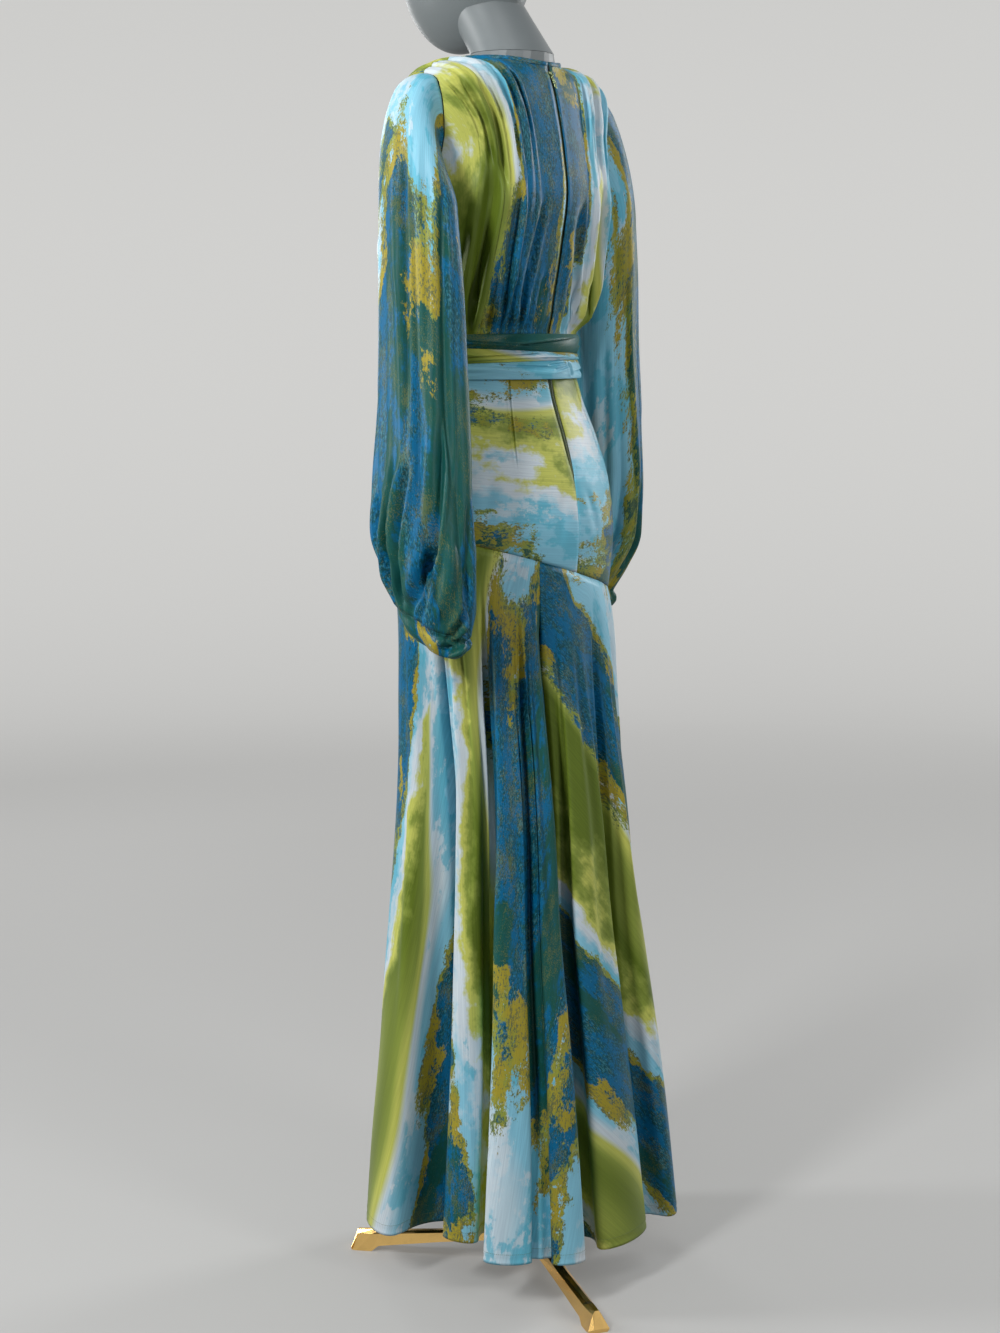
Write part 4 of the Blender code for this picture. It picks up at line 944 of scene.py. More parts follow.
def panel(name, grid, across, along, gaps, depths):
    """A panel that lies on the form: drawn in at the seams on its two sides and sunk beside them."""
    piece = inset_edges(grid, gaps)
    dip = seam_dip(across - across[0], depth=depths[0]) + seam_dip(across[-1] - across, depth=depths[1])
    piece = piece - facing(piece) * dip[None, :, None]
    finish_cloth(cloth(name, piece, across, along), name)


def joined_mesh(name, shapes):
    """One mesh from several (points, faces) shapes."""
    points, faces, start = [], [], 0
    for shape_points, shape_faces in shapes:
        points += [tuple(p) for p in shape_points]
        faces += [tuple(start + n for n in face) for face in shape_faces]
        start += len(shape_points)
    return make_mesh(name, points, faces)


def rounded_slot(middle, half_width, half_length, steps=10):
    """The outline of a slot with round ends, centred on the line x = 0."""
    outline = []
    for end in (1, -1):
        for turn in np.radians(np.linspace(0, 180, steps)):
            x, y = half_width * math.cos(turn) * end, half_width * math.sin(turn) * end
            outline.append((x, middle + (half_length - half_width) * end + y))
    return outline


def cut_plate(name, outlines, thickness, soft_edge):
    """A flat plate on X and Y: an outline, then the holes in it, with softened edges."""
    drawing = bpy.data.curves.new(name, "CURVE")
    drawing.dimensions = "2D"
    drawing.fill_mode = "BOTH"
    drawing.extrude = thickness / 2 - soft_edge
    drawing.bevel_depth = soft_edge
    drawing.offset = -soft_edge
    for outline in outlines:
        spline = drawing.splines.new("POLY")
        spline.points.add(len(outline) - 1)
        for point, (x, y) in zip(spline.points, outline):
            point.co = (x, y, 0, 1)
        spline.use_cyclic_u = True
    helper = bpy.data.objects.new(name, drawing)
    plate = bpy.data.meshes.new_from_object(helper)
    points = [np.array(vert.co) for vert in plate.vertices]
    faces = [tuple(face.vertices) for face in plate.polygons]
    bpy.data.objects.remove(helper)
    bpy.data.curves.remove(drawing)
    bpy.data.meshes.remove(plate)
    return points, faces


def short_tube(outer, inner, half_length, sides=24):
    """A tube along X through the origin, with softened ends."""
    edge = 0.00012
    profile = [(inner, -half_length), (outer - edge, -half_length), (outer, edge - half_length)]
    profile += [(radius, -place) for radius, place in profile[::-1]]
    turns = np.radians(np.linspace(0, 360, sides, endpoint=False))
    points = [np.array((x, r * math.cos(t), r * math.sin(t))) for r, x in profile for t in turns]
    faces = []
    for i in range(len(profile)):
        for j in range(sides):
            m, n = (i + 1) % len(profile), (j + 1) % sides
            faces.append((i * sides + j, m * sides + j, m * sides + n, i * sides + n))
    return points, faces


def thread_stitch(middle, along, out, length, half):
    """A short stitch: a lens-shaped bar of thread that lies on the cloth."""
    side = np.cross(out, along)
    rings = [(-0.5, 0.35), (-0.3, 1.0), (0.3, 1.0), (0.5, 0.35)]
    points = []
    for share, full in rings:
        for turn in (0, 72, 144, 216, 288):
            c, s = math.cos(math.radians(turn)), math.sin(math.radians(turn))
            points.append(middle + along * share * length + (side * c + out * s) * half * full)
    faces = [(4, 3, 2, 1, 0), (15, 16, 17, 18, 19)]
    for ring in range(3):
        for n in range(5):
            m = (n + 1) % 5
            faces.append((ring * 5 + n, ring * 5 + m, ring * 5 + 5 + m, ring * 5 + 5 + n))
    return points, faces


def stitch_row(name, line, outs, spacing):
    """A row of stitches along a line of points on the cloth."""
    length, half = STITCH
    steps = arc_lengths(line)
    shapes = []
    for middle in np.arange(spacing / 2, steps[-1], spacing):
        spot, out = point_along(line, steps, middle), point_along(outs, steps, middle)
        along = point_along(line, steps, middle + 1e-4) - spot
        if np.linalg.norm(along) < 1e-9:
            continue
        along /= np.linalg.norm(along)
        out -= along * (out @ along)
        out /= np.linalg.norm(out)
        shapes.append(thread_stitch(spot + ORIGIN + out * half * 0.4, along, out, length, half))
    return add_object(name, joined_mesh(name, shapes), the_thread())


# ---------------------------------------------------------------- shader nodes
class Value:
    """A socket of a shader. Python's operators on it add Math nodes."""

    def __init__(self, bench, socket):
        self.bench = bench
        self.socket = socket

    def math(self, operation, *inputs):
        """The result of a Math node on these values, or on this one alone."""
        values = dict(enumerate(inputs or [self]))
        return self.bench.node("ShaderNodeMath", {"operation": operation}, values)

    def __add__(self, other):
        return self.math("ADD", self, other)

    def __radd__(self, other):
        return self.math("ADD", other, self)

    def __sub__(self, other):
        return self.math("SUBTRACT", self, other)

    def __rsub__(self, other):
        return self.math("SUBTRACT", other, self)

    def __mul__(self, other):
        return self.math("MULTIPLY", self, other)

    def __rmul__(self, other):
        return self.math("MULTIPLY", other, self)

    def smooth(self, low, high):
        """0 below low, 1 above high and a soft step between them."""
        settings = {"interpolation_type": "SMOOTHSTEP"}
        inputs = {"Value": self, "From Min": low, "From Max": high}
        return self.bench.node("ShaderNodeMapRange", settings, inputs)


class Bench:
    """The nodes of one material, with its Principled shader as the finish."""

    def __init__(self, name, colour, roughness, metallic=0.0):
        self.colour = (*colour[:3], 1)
        self.material = bpy.data.materials.new(name)
        self.material.use_nodes = True
        self.material.diffuse_color = self.colour
        self.tree = self.material.node_tree
        self.finish = self.tree.nodes["Principled BSDF"]
        self.set("Base Color", self.colour)
        self.set("Roughness", roughness)
        self.set("Metallic", metallic)

    def set(self, name, value):
        """Sets or links one socket of the finish."""
        self.feed(self.finish.inputs[name], value)

    def tint(self, share, factor):
        """Turns the finish's colour, where share is 1, into itself times this factor."""
        tone = [min(1.0, factor * part) for part in self.colour[:3]] + [1]
        self.set("Base Color", self.blend(share, self.colour, tone))

    def feed(self, socket, value):
        """Links a socket to a shader value, or sets it to a plain one."""
        if isinstance(value, Value):
            self.tree.links.new(value.socket, socket)
        else:
            socket.default_value = value

    def node(self, kind, settings=None, inputs=None, out=0):
        """The output of a new node with these settings and inputs."""
        made = self.tree.nodes.new(kind)
        for name, value in (settings or {}).items():
            if name == "stops":
                self.set_stops(made.color_ramp, value)
            else:
                setattr(made, name, value)
        for name, value in (inputs or {}).items():
            self.feed(made.inputs[name], value)
        return Value(self, made.outputs[out])

    def set_stops(self, ramp, stops):
        """Gives a colour ramp these (place, colour) stops."""
        for place, colour in stops[1:-1]:
            ramp.elements.new(place).color = (*colour[:3], 1)
        ramp.elements[0].position, ramp.elements[0].color = stops[0][0], (*stops[0][1][:3], 1)
        ramp.elements[-1].position, ramp.elements[-1].color = stops[-1][0], (*stops[-1][1][:3], 1)

    def blend(self, share, first, second, way="MIX"):
        """Colour first where share is 0 and colour second where it is 1."""
        settings = {"data_type": "RGBA", "blend_type": way}
        return self.node("ShaderNodeMix", settings, {0: share, 6: first, 7: second}, out=2)

    def own_place(self):
        """The place on the object itself, in metres."""
        return self.node("ShaderNodeTexCoord", out=3)

    def stretched(self, place, across, along, up=1):
        """A place, scaled differently in each direction."""
        inputs = {0: place, 1: (across, along, up)}
        return self.node("ShaderNodeVectorMath", {"operation": "MULTIPLY"}, inputs)

    def noise(self, place, across, along, detail=3.0, roughness=0.55):
        """Noise with this many spots to the metre across and along the cloth."""
        inputs = {"Vector": self.stretched(place, across, along), "Scale": 1.0}
        inputs.update({"Detail": detail, "Roughness": roughness})
        return self.node("ShaderNodeTexNoise", {"noise_dimensions": "2D"}, inputs)

    def cloud(self, scale, detail=3.0, roughness=0.5):
        """Noise in the object's own space, for what isn't cut from cloth."""
        inputs = {"Vector": self.own_place(), "Scale": scale, "Detail": detail, "Roughness": roughness}
        return self.node("ShaderNodeTexNoise", {}, inputs)

    def bump(self, height, strength, distance):
        """Raises the surface by a height, in metres times strength."""
        inputs = {"Strength": strength, "Distance": distance, "Height": height}
        self.set("Normal", self.node("ShaderNodeBump", {}, inputs))


def print_colours(bench, place, colours):
    """The brushed bands of the printed cloth, at a place given in metres."""
    noise = partial(bench.noise, place)
    across = bench.node("ShaderNodeSeparateXYZ", {}, {0: place})
    drift = noise(2.6, 0.8, 2.0)
    ragged = noise(17, 11, 5.0, 0.62)
    bristle = noise(70, 45, 4.0, 0.7)
    speck = noise(420, 190, 3.0, 0.75)
    band = across * 2.3 + (drift - 0.5) * 0.8 + (ragged - 0.5) * 0.14
    swell = noise(2.9, 0.8, 2.0)
    off_blue = (band.math("FRACT") - 0.5).math("ABSOLUTE")
    ground = 0.64 - off_blue - (swell - 0.45) * 0.95 + (ragged - 0.5) * 0.14
    stops = (
        (0.00, colours.olive),
        (0.075, colours.olive),
        (0.125, colours.leaf),
        (0.155, colours.yellow),
        (0.172, colours.yellow),
        (0.200, colours.white),
        (0.225, colours.white),
        (0.275, colours.pale_blue),
        (1.00, colours.pale_blue),
    )
    soft = bench.node("ShaderNodeValToRGB", {"stops": stops}, {0: ground})
    patches = noise(14, 7, 4.0, 0.6)
    patch = (patches + (bristle - 0.5) * 0.25).smooth(0.50, 0.56)
    soft = bench.blend(patch * ground.smooth(0.19, 0.23) * 0.75, soft, colours.sky)
    white = noise(9, 3.5, 4.0, 0.6)
    white = (white + (bristle - 0.5) * 0.3).smooth(0.56, 0.62) * ground.smooth(0.20, 0.24)
    soft = bench.blend(white * 0.70, soft, colours.white)
    islands = noise(8.5, 1.7, 3.0, 0.5)
    field = ground.smooth(0.18, 0.52) * 0.9 + (islands - 0.5) * 3.2
    field = field + (bristle - 0.5) * 0.42 + (speck - 0.5) * 0.34
    halo = field.smooth(0.34, 0.40)
    core = (field + (ragged - 0.5) * 0.9).smooth(0.53, 0.61)
    mottle = noise(60, 24, 6.0, 0.75)
    blues = bench.blend((mottle + (speck - 0.5) * 0.5).smooth(0.42, 0.56), colours.blue, colours.teal)
    light = noise(700, 190, 2.0, 0.6)
    light = (light + (mottle - 0.5) * 0.8).smooth(0.54, 0.70)
    blues = bench.blend(light * 0.30, blues, colours.sky)
    shade = noise(13, 2.4)
    blues = bench.blend((shade + (mottle - 0.5) * 0.3).smooth(0.52, 0.58) * 0.9, blues, colours.green_teal)
    dust = noise(900, 420, 2.0, 0.6)
    flecks = (dust + (ragged - 0.5) * 1.3 + (mottle - 0.5) * 0.9).smooth(0.63, 0.76)
    blues = bench.blend(flecks * 0.21, blues, colours.ochre)
    gold = bench.blend(ragged.smooth(0.40, 0.62), colours.ochre, colours.leaf)
    gold = bench.blend((speck + (mottle - 0.5) * 0.9).smooth(0.55, 0.60) * 0.6, gold, colours.teal)
    colour = bench.blend(halo, soft, gold)
    colour = bench.blend(core, colour, blues)
    streak = noise(520, 12, 2.0)
    tone = bench.blend(streak.smooth(0.30, 0.70), (0.88, 0.89, 0.91, 1), (1.06, 1.06, 1.05, 1))
    cloud = noise(11, 5)
    tone = bench.blend(cloud.smooth(0.35, 0.65) * 0.5, tone, (0.82, 0.84, 0.84, 1))
    return bench.blend(1.0, colour, tone, way="MULTIPLY")


def satin(name, colours, roughness, shine):
    """Printed satin: bands of colour, a fine slub along the cloth and a weave across it."""
    bench = Bench(name, colours.blue, roughness)
    place = bench.node("ShaderNodeUVMap", {"uv_map": "cloth"})
    bench.set("Base Color", print_colours(bench, place, colours))
    slub = bench.noise(place, 900, 60, 2.0)
    weave = bench.noise(place, 1500, 1500, 1.0)
    bench.set("Roughness", roughness + (slub - 0.5) * 0.16)
    bench.set("Sheen Weight", shine)
    bench.set("Sheen Roughness", 0.4)
    bench.set("Specular IOR Level", 0.16)
    bench.bump(slub * 0.6 + weave * 0.4, 0.35, 0.0004)
    return bench.material


def woven_tape(name, colour):
    """The zip's woven tape."""
    bench = Bench(name, colour, 0.7)
    rib = bench.noise(bench.own_place(), 900, 900, 1.0)
    bench.tint(rib.smooth(0.35, 0.65), 0.75)
    bench.bump(rib, 0.4, 0.0003)
    return bench.material


def coil(name, colour):
    """The zip's moulded coil: dyed nylon, slightly glossy, a little uneven in tone."""
    bench = Bench(name, colour, 0.34)
    cloud = bench.noise(bench.own_place(), 240, 900, 2.0)
    bench.tint(cloud.smooth(0.35, 0.65), 0.72)
    bench.set("Roughness", 0.30 + cloud * 0.12)
    return bench.material


def thread(name, colour):
    """Sewing thread with a fine twist."""
    bench = Bench(name, colour, 0.55)
    twist = bench.noise(bench.own_place(), 2600, 2600, 1.0)
    bench.tint(twist.smooth(0.3, 0.7), 0.8)
    return bench.material


def polished_metal(name, colour):
    """Polished or lacquered metal, with faint wipe marks and a little dulling."""
    bench = Bench(name, colour, 0.16, 1.0)
    wipe = bench.cloud(38, 4.0, 0.6)
    bench.tint(wipe.smooth(0.42, 0.72) * 0.6, 0.80)
    bench.set("Roughness", 0.13 + wipe * 0.12)
    bench.bump(bench.cloud(420, 2.0), 0.05, 0.0004)
    return bench.material


def painted_shell(name, colour):
    """The form's painted shell: a matte spray coat with a fine grain."""
    bench = Bench(name, colour, 0.42)
    grain = bench.cloud(1400, 2.0)
    cloud = bench.cloud(14)
    bench.tint(cloud.smooth(0.35, 0.68) * 0.5, 1.12)
    bench.set("Roughness", 0.36 + cloud * 0.14)
    bench.bump(grain, 0.10, 0.0004)
    return bench.material


def studio_paint(name, colour):
    """The matte paint of the studio's floor and round wall, with painted light: it glows a little
    everywhere, which lifts the floor's shadows, and more towards the wall.
    """
    bench = Bench(name, colour, 0.85)
    place = bench.own_place()
    height = bench.node("ShaderNodeSeparateXYZ", {}, {0: place}, out=2)
    bench.tint(bench.cloud(1.3, 2.0), 1.03)
    bench.set("Emission Strength", 1.0)
    flat = bench.stretched(place, 1, 1, 0)
    radius = bench.node("ShaderNodeVectorMath", {"operation": "LENGTH"}, {0: flat}, out=1)
    # Painted light: the floor and wall glow though they are no lamp. They glow evenly a little, more out
    # towards the wall and a little less high up.
    glow = 0.16 + radius.smooth(0.8, 7.2) * 0.40 - height.smooth(1.5, 3.4) * 0.03
    bench.set("Emission Color", bench.blend(glow, (0, 0, 0, 1), (1.0, 0.995, 0.97, 1)))
    return bench.material


# ---------------------------------------------------------------- settings
def colour_setting(name, description, default):
    """One colour of the sidebar, from its red, green and blue."""
    return FloatVectorProperty(
        name=name, description=description, default=(*default, 1), subtype="COLOR", size=4, min=0, max=1
    )


def length_setting(name, description, default):
    """One length of the sidebar, in metres."""
    return FloatProperty(name=name, description=description, default=default, unit="LENGTH", precision=4)


class GownColours(bpy.types.PropertyGroup):
    olive: colour_setting("Olive", "Broadest green of the print", (0.118, 0.17, 0.016))
    leaf: colour_setting("Leaf green", "Lighter green at the edges of the olive", (0.26, 0.32, 0.055))
    yellow: colour_setting("Yellow", "Narrow line between green and white", (0.54, 0.56, 0.12))
    ochre: colour_setting("Ochre", "Flecks and halo round the blue", (0.38, 0.31, 0.030))
    white: colour_setting("White", "Palest ground of the print", (0.64, 0.72, 0.77))
    pale_blue: colour_setting("Pale blue", "Light blue beside the white", (0.25, 0.57, 0.72))
    sky: colour_setting("Sky blue", "Patches on the pale ground", (0.10, 0.46, 0.61))
    blue: colour_setting("Blue", "Strong blue of the mottled bands", (0.0, 0.132, 0.285))
    teal: colour_setting("Teal", "Dark teal in the mottled bands", (0.003, 0.066, 0.086))
    green_teal: colour_setting("Green teal", "Deep green in the mottled bands", (0.009, 0.086, 0.062))
    # The zip tape's colour is partly its own green and partly painted shade: it is darkened for the shade in
    # the slit at the centre back.
    zip_tape: colour_setting("Zip tape", "Woven tape of the zip", (0.040, 0.062, 0.026))
    zip_coil: colour_setting("Zip coil", "Teeth of the zip", (0.11, 0.15, 0.05))
    shell: colour_setting("Form", "Painted shell of the dress form", (0.155, 0.175, 0.18))
    zip_metal: colour_setting("Zip metal", "Lacquered slider and pull tab", (0.26, 0.31, 0.15))
    brass: colour_setting("Brass", "Polished stand", (0.80, 0.52, 0.18))


class GownSizes(bpy.types.PropertyGroup):
    cloth: length_setting("Cloth", "Thickness of the gown's cloth", 0.0011)
    crease: FloatProperty(name="Creases", description="Depth of the creases, 1 as drawn", default=1.0)
    satin_roughness: FloatProperty(name="Satin", description="Roughness of the satin", default=0.40)
    satin_shine: FloatProperty(name="Sheen", description="Sheen of the satin", default=0.02)
    stitch: length_setting("Stitch", "Spacing of the stitches", 0.0026)
    hem_depth: length_setting("Hem", "Depth of the skirt's hem", 0.007)


class StudioSettings(bpy.types.PropertyGroup):
    distance: length_setting("Distance", "From camera to gown", 3.0)
    azimuth: FloatProperty(
        name="Azimuth",
        description="Camera's turn from the back to the left",
        default=math.radians(50),
        unit="ROTATION",
    )
    height: length_setting("Height", "Camera's height", 1.239)
    pitch: FloatProperty(
        name="Pitch", description="How far the camera looks down", default=math.radians(8), unit="ROTATION"
    )
    lens: FloatProperty(name="Lens", description="Focal length in millimetres", default=61.1)
    wall: colour_setting("Studio", "Paint of the floor and wall", (0.30, 0.30, 0.295))


def colours():
    """The gown's colours, as the sidebar has them."""
    return bpy.context.scene.gown_colours


def sizes():
    """The gown's sizes, as the sidebar has them."""
    return bpy.context.scene.gown_sizes


def the_satin():
    """The gown's printed satin, made once."""
    made = bpy.data.materials.get("printed_satin")
    return made or satin("printed_satin", colours(), sizes().satin_roughness, sizes().satin_shine)


def the_thread():
    """The hem's sewing thread, made once."""
    return bpy.data.materials.get("green_thread") or thread("green_thread", (0.10, 0.15, 0.05, 1))


# ---------------------------------------------------------------- operators
class GOWN_OT_bodice(bpy.types.Operator):
    """Makes the gathered bodice: one front and two backs, parted by the zip"""

    bl_idname = "gown.bodice"
    bl_label = "Bodice"

    def execute(self, context):
        columns = bodice_columns()
        back = np.stack([bodice_column(c, False) for c in columns], 1)
        front = np.stack([bodice_column(c, True) for c in columns], 1)
        left = np.concatenate([back, front[:, ::-1][:, 1:]], 1)
        grid = np.concatenate([left, left[:, ::-1][:, 1:-1] * (-1, 1, 1)], 1)
        waist = np.array(columns + [180 - c for c in columns[::-1][1:]])
        waist = np.concatenate([waist, 360 - waist[::-1][1:-1]])
        side = len(columns) - 1
        creases = BODICE_CREASES + FRONT_CREASES
        # The right back has the left one's creases, which end a little further round.
        for c in BODICE_CREASES:
            creases += (c._replace(across=360 - c.across, to_across=359 - c.to_across),)
        depth = crease_depth(waist, grid[..., 2], creases, BODICE_DEGREE, round_again=False)
        edge = 0.25 + 0.75 * ramp(grid[-1:, :, 2] - grid[..., 2], 0.02)
        grid = grid - facing(grid, True) * (depth * edge)[..., None]
        across = round_lengths(grid[len(grid) // 3])
        along = column_lengths(grid)
        for name, first, last, gaps in (
            ("bodice_back_left", 0, side, (ZIP_SLIT, HALF_GAP)),
            ("bodice_front", side, 3 * side, (HALF_GAP, HALF_GAP)),
            ("bodice_back_right", 3 * side, 4 * side, (HALF_GAP, ZIP_SLIT)),
        ):
            around = across[first : last + 1]
            picked = np.arange(first, last + 1) % grid.shape[1]
            depths = [-ZIP_RIDGE if gap == ZIP_SLIT else SEAM_DEPTH for gap in gaps]
            panel(name, grid[:, picked], around, along[:, picked], gaps, depths)
        return {"FINISHED"}


class GOWN_OT_neck_binding(bpy.types.Operator):
    """Makes the narrow band that finishes the neckline"""

    bl_idname = "gown.neck_binding"
    bl_label = "Neck binding"

    def execute(self, context):
        left = np.array(bodice_edge(False) + bodice_edge(True)[::-1][1:])
        lower = np.concatenate([left, (left * (-1, 1, 1))[::-1][1:]])
        inward = (lower[:-1].mean(0) - lower) * (1, 1, 0)
        inward /= np.linalg.norm(inward, axis=1, keepdims=True)
        share = np.linspace(0, 1, BINDING_ROWS)[:, None, None]
        swell = BINDING_SWELL * np.sin(np.pi * share)
        rise = np.array([0, 0, 1]) * (BINDING_LIFT + BINDING_RISE * share)
        grid = lower + inward * (BINDING_LEAN * share - swell) + rise
        grid = inset_edges(grid, (BINDING_SLIT, BINDING_SLIT))
        along = np.linspace(0, BINDING_WIDTH, BINDING_ROWS)[:, None]
        made = cloth("neck_binding", grid, arc_lengths(grid[0]), along)
        finish_cloth(made, "neck_binding")
        return {"FINISHED"}


class GOWN_OT_sleeves(bpy.types.Operator):
    """Makes the two full sleeves and their gathered cuffs"""

    bl_idname = "gown.sleeves"
    bl_label = "Sleeves and cuffs"

    def execute(self, context):
        for side, table, creases in (
            ("left", LEFT_SLEEVE, LEFT_SLEEVE_CREASES),
            ("right", RIGHT_SLEEVE, RIGHT_SLEEVE_CREASES),
        ):
            self.make(side, table, creases)
        return {"FINISHED"}

    def make(self, side, table, creases):
        """One sleeve and its cuff, made as a left one and turned over for the right."""
        flip = side == "right"
        hand = np.array([-1 if flip else 1, 1, 1])
        psi = (np.linspace(0, 360, SLEEVE_ROUND, endpoint=False) + 180) % 360
        seam = armhole_edge(psi)
        seam[:, 0] += HEAD_CLEAR * np.sin(np.radians(psi / 2 + 90)) ** 2
        rings = sleeve_head(seam, hanging_ring(table[0], psi, 0))
        for height in np.linspace(table[0].height, table[-1].height, SLEEVE_ROWS)[1:]:
            rings.append(hanging_ring(ring_at(table, height), psi, sleeve_swirl(height)))
        cuff_from = len(rings) - 1
        rings += cuff_rings(rings[-1], psi, np.array([table[-1].centre_x, table[-1].centre_y]))
        rings = np.array(rings)
        depth = crease_depth(psi, rings[..., 2], creases, SLEEVE_DEGREE)
        depth[:4] *= np.linspace(0, 1, 4)[:, None]
        rings = (rings - facing(rings, True) * depth[..., None]) * hand
        around = round_lengths(rings[60])
        along = -column_lengths(rings)
        along = np.concatenate([along, along[:, :1]], 1)
        sleeve_name, cuff_name = "sleeve_" + side, "cuff_" + side
        sleeve = slice(0, cuff_from + 1)
        made = cloth(sleeve_name, rings[sleeve], around, along[sleeve], True, flip)
        finish_cloth(made, sleeve_name)
        made = cloth(cuff_name, rings[cuff_from:], around, along[cuff_from:], True, flip)
        finish_cloth(made, cuff_name)


class GOWN_OT_sash(bpy.types.Operator):
    """Makes the three wraps of the sash"""

    bl_idname = "gown.sash"
    bl_label = "Sash"

    def execute(self, context):
        angle = np.linspace(SASH_END, SASH_END + 360, SASH_ROUND, endpoint=False)
        turns, shares = np.meshgrid(angle, np.linspace(0, 1, SASH_ROWS))
        bulge = SASH_BULGE * np.sin(np.pi * shares) ** 0.7
        edge = np.sin(np.pi * np.clip(shares, 0.06, 0.94)) ** 0.5
        along = np.linspace(0, SASH_WIDTH, SASH_ROWS)[:, None]
        for number, (name, creases) in enumerate(SASH_CREASES.items()):
            low, high = sash_line(SASH_LINES[number], turns), sash_line(SASH_LINES[number + 1], turns)
            height = low + (high - low) * shares
            depth = crease_depth(turns, shares, creases, SASH_DEGREE, SASH_HEIGHT)
            grid = form.point(turns, height, SASH_ROOM + SASH_CLOTH + bulge - depth * edge)
            around = round_lengths(grid[SASH_ROWS // 2])
            made = cloth(name, grid, around, along, True, thickness=SASH_SHELL)
            finish_cloth(made, name)
        return {"FINISHED"}


class GOWN_OT_yoke(bpy.types.Operator):
    """Makes the fitted hip yoke with its darts"""

    bl_idname = "gown.yoke"
    bl_label = "Hip yoke"

    def execute(self, context):
        darts = [c.across for c in YOKE_CREASES if c.width < 0.003]
        angle = [np.linspace(0, 360, YOKE_ROUND)]
        angle += [np.linspace(dart - 4, dart + 6, DART_ROUND) for dart in darts]
        angle = np.unique(np.round(np.concatenate(angle), 4))
        turns, share = np.meshgrid(angle, np.linspace(0, 1, YOKE_ROWS))
        low = hip_seam(turns)
        rise = (WAIST_SEAM - low) * share
        depth = crease_depth(turns, low + rise, YOKE_CREASES, YOKE_DEGREE)
        grid = form.point(turns, low + rise, yoke_out(share) - depth - seam_dip(rise, *HIP_SEAM_DIP))
        across = arc_lengths(grid[20])
        along = column_lengths(grid)
        at_zip = HALF_GAP + ZIP_SPREAD * ramp(grid[:, 0, 2] - ZIP_SPREAD_FROM, ZIP_SPREAD_OVER) ** 0.8
        left, right = np.searchsorted(angle, [90, 270])
        for name, first, last, gaps in (
            ("yoke_back_left", 0, left, (at_zip, HALF_GAP)),
            ("yoke_front", left, right, (HALF_GAP, HALF_GAP)),
            ("yoke_back_right", right, len(angle) - 1, (HALF_GAP, at_zip)),
        ):
            picked = slice(first, last + 1)
            down = along[:, picked] - along[-1:, picked]
            depths = (SEAM_DEPTH, SEAM_DEPTH)
            panel(name, grid[:, picked], across[picked], down, gaps, depths)
        return {"FINISHED"}


class GOWN_OT_skirt(bpy.types.Operator):
    """Makes the fluted skirt with its stitched hem"""

    bl_idname = "gown.skirt"
    bl_label = "Skirt"

    def execute(self, context):
        starts = flute_starts()
        angles = [np.linspace(a, b, FLUTE_ROUND, endpoint=False) for a, b in zip(starts, starts[1:])]
        angles = np.concatenate(angles + [[starts[-1]]])
        hang = np.concatenate([np.linspace(1, 0.985, 5), np.linspace(0.985, 0, SKIRT_ROWS)[1:]])
        turns, share = np.meshgrid(angles, hang)
        grid = skirt_point(turns, share)
        depth = crease_depth(turns % 360, grid[..., 2], SKIRT_CREASES, SKIRT_DEGREE)
        from_hem = (1 - share) * SKIRT_LENGTH
        from_seam = SKIRT_LENGTH - from_hem
        edge = ramp(from_hem, 0.05) * ramp(from_seam, 0.04)
        hem_groove = seam_dip(from_hem - sizes().hem_depth, HEM_GROOVE_WIDTH, HEM_GROOVE)
        sink = depth * edge + hem_groove + seam_dip(from_seam, *HIP_SEAM_DIP)
        grid = grid - facing(grid) * sink[..., None]
        left = int(np.argmin(abs(angles - LEFT_SEAM)))
        right = int(np.argmin(abs(angles - RIGHT_SEAM)))
        for name, first, last in (
            ("skirt_back_left", 0, left),
            ("skirt_front", left, right),
            ("skirt_back_right", right, len(angles) - 1),
        ):
            piece = inset_edges(grid[:, first : last + 1], (HALF_GAP, HALF_GAP))
            along = column_lengths(piece)
            hem_line, top_line = arc_lengths(piece[0]), arc_lengths(piece[-1])
            long = float(along[-1].mean())
            # The panel is cut as a part of a ring, which is wider at its hem.
            spread = (hem_line[-1] - top_line[-1]) / long
            top_radius = top_line[-1] / spread
            round_panel = (hem_line / hem_line[-1] - 0.5)[None, :] * spread
            radius = top_radius + long - along
            across, down = radius * np.sin(round_panel), -radius * np.cos(round_panel) + top_radius
            made = cloth(name, piece, across, down)
            row, outs = piece[HEM_STITCH_ROW], facing(piece)[HEM_STITCH_ROW]
            stitches = stitch_row("hem_stitches" + name[5:], row, outs, sizes().stitch)
            tie(stitches)
            finish_cloth(made, name)
        return {"FINISHED"}


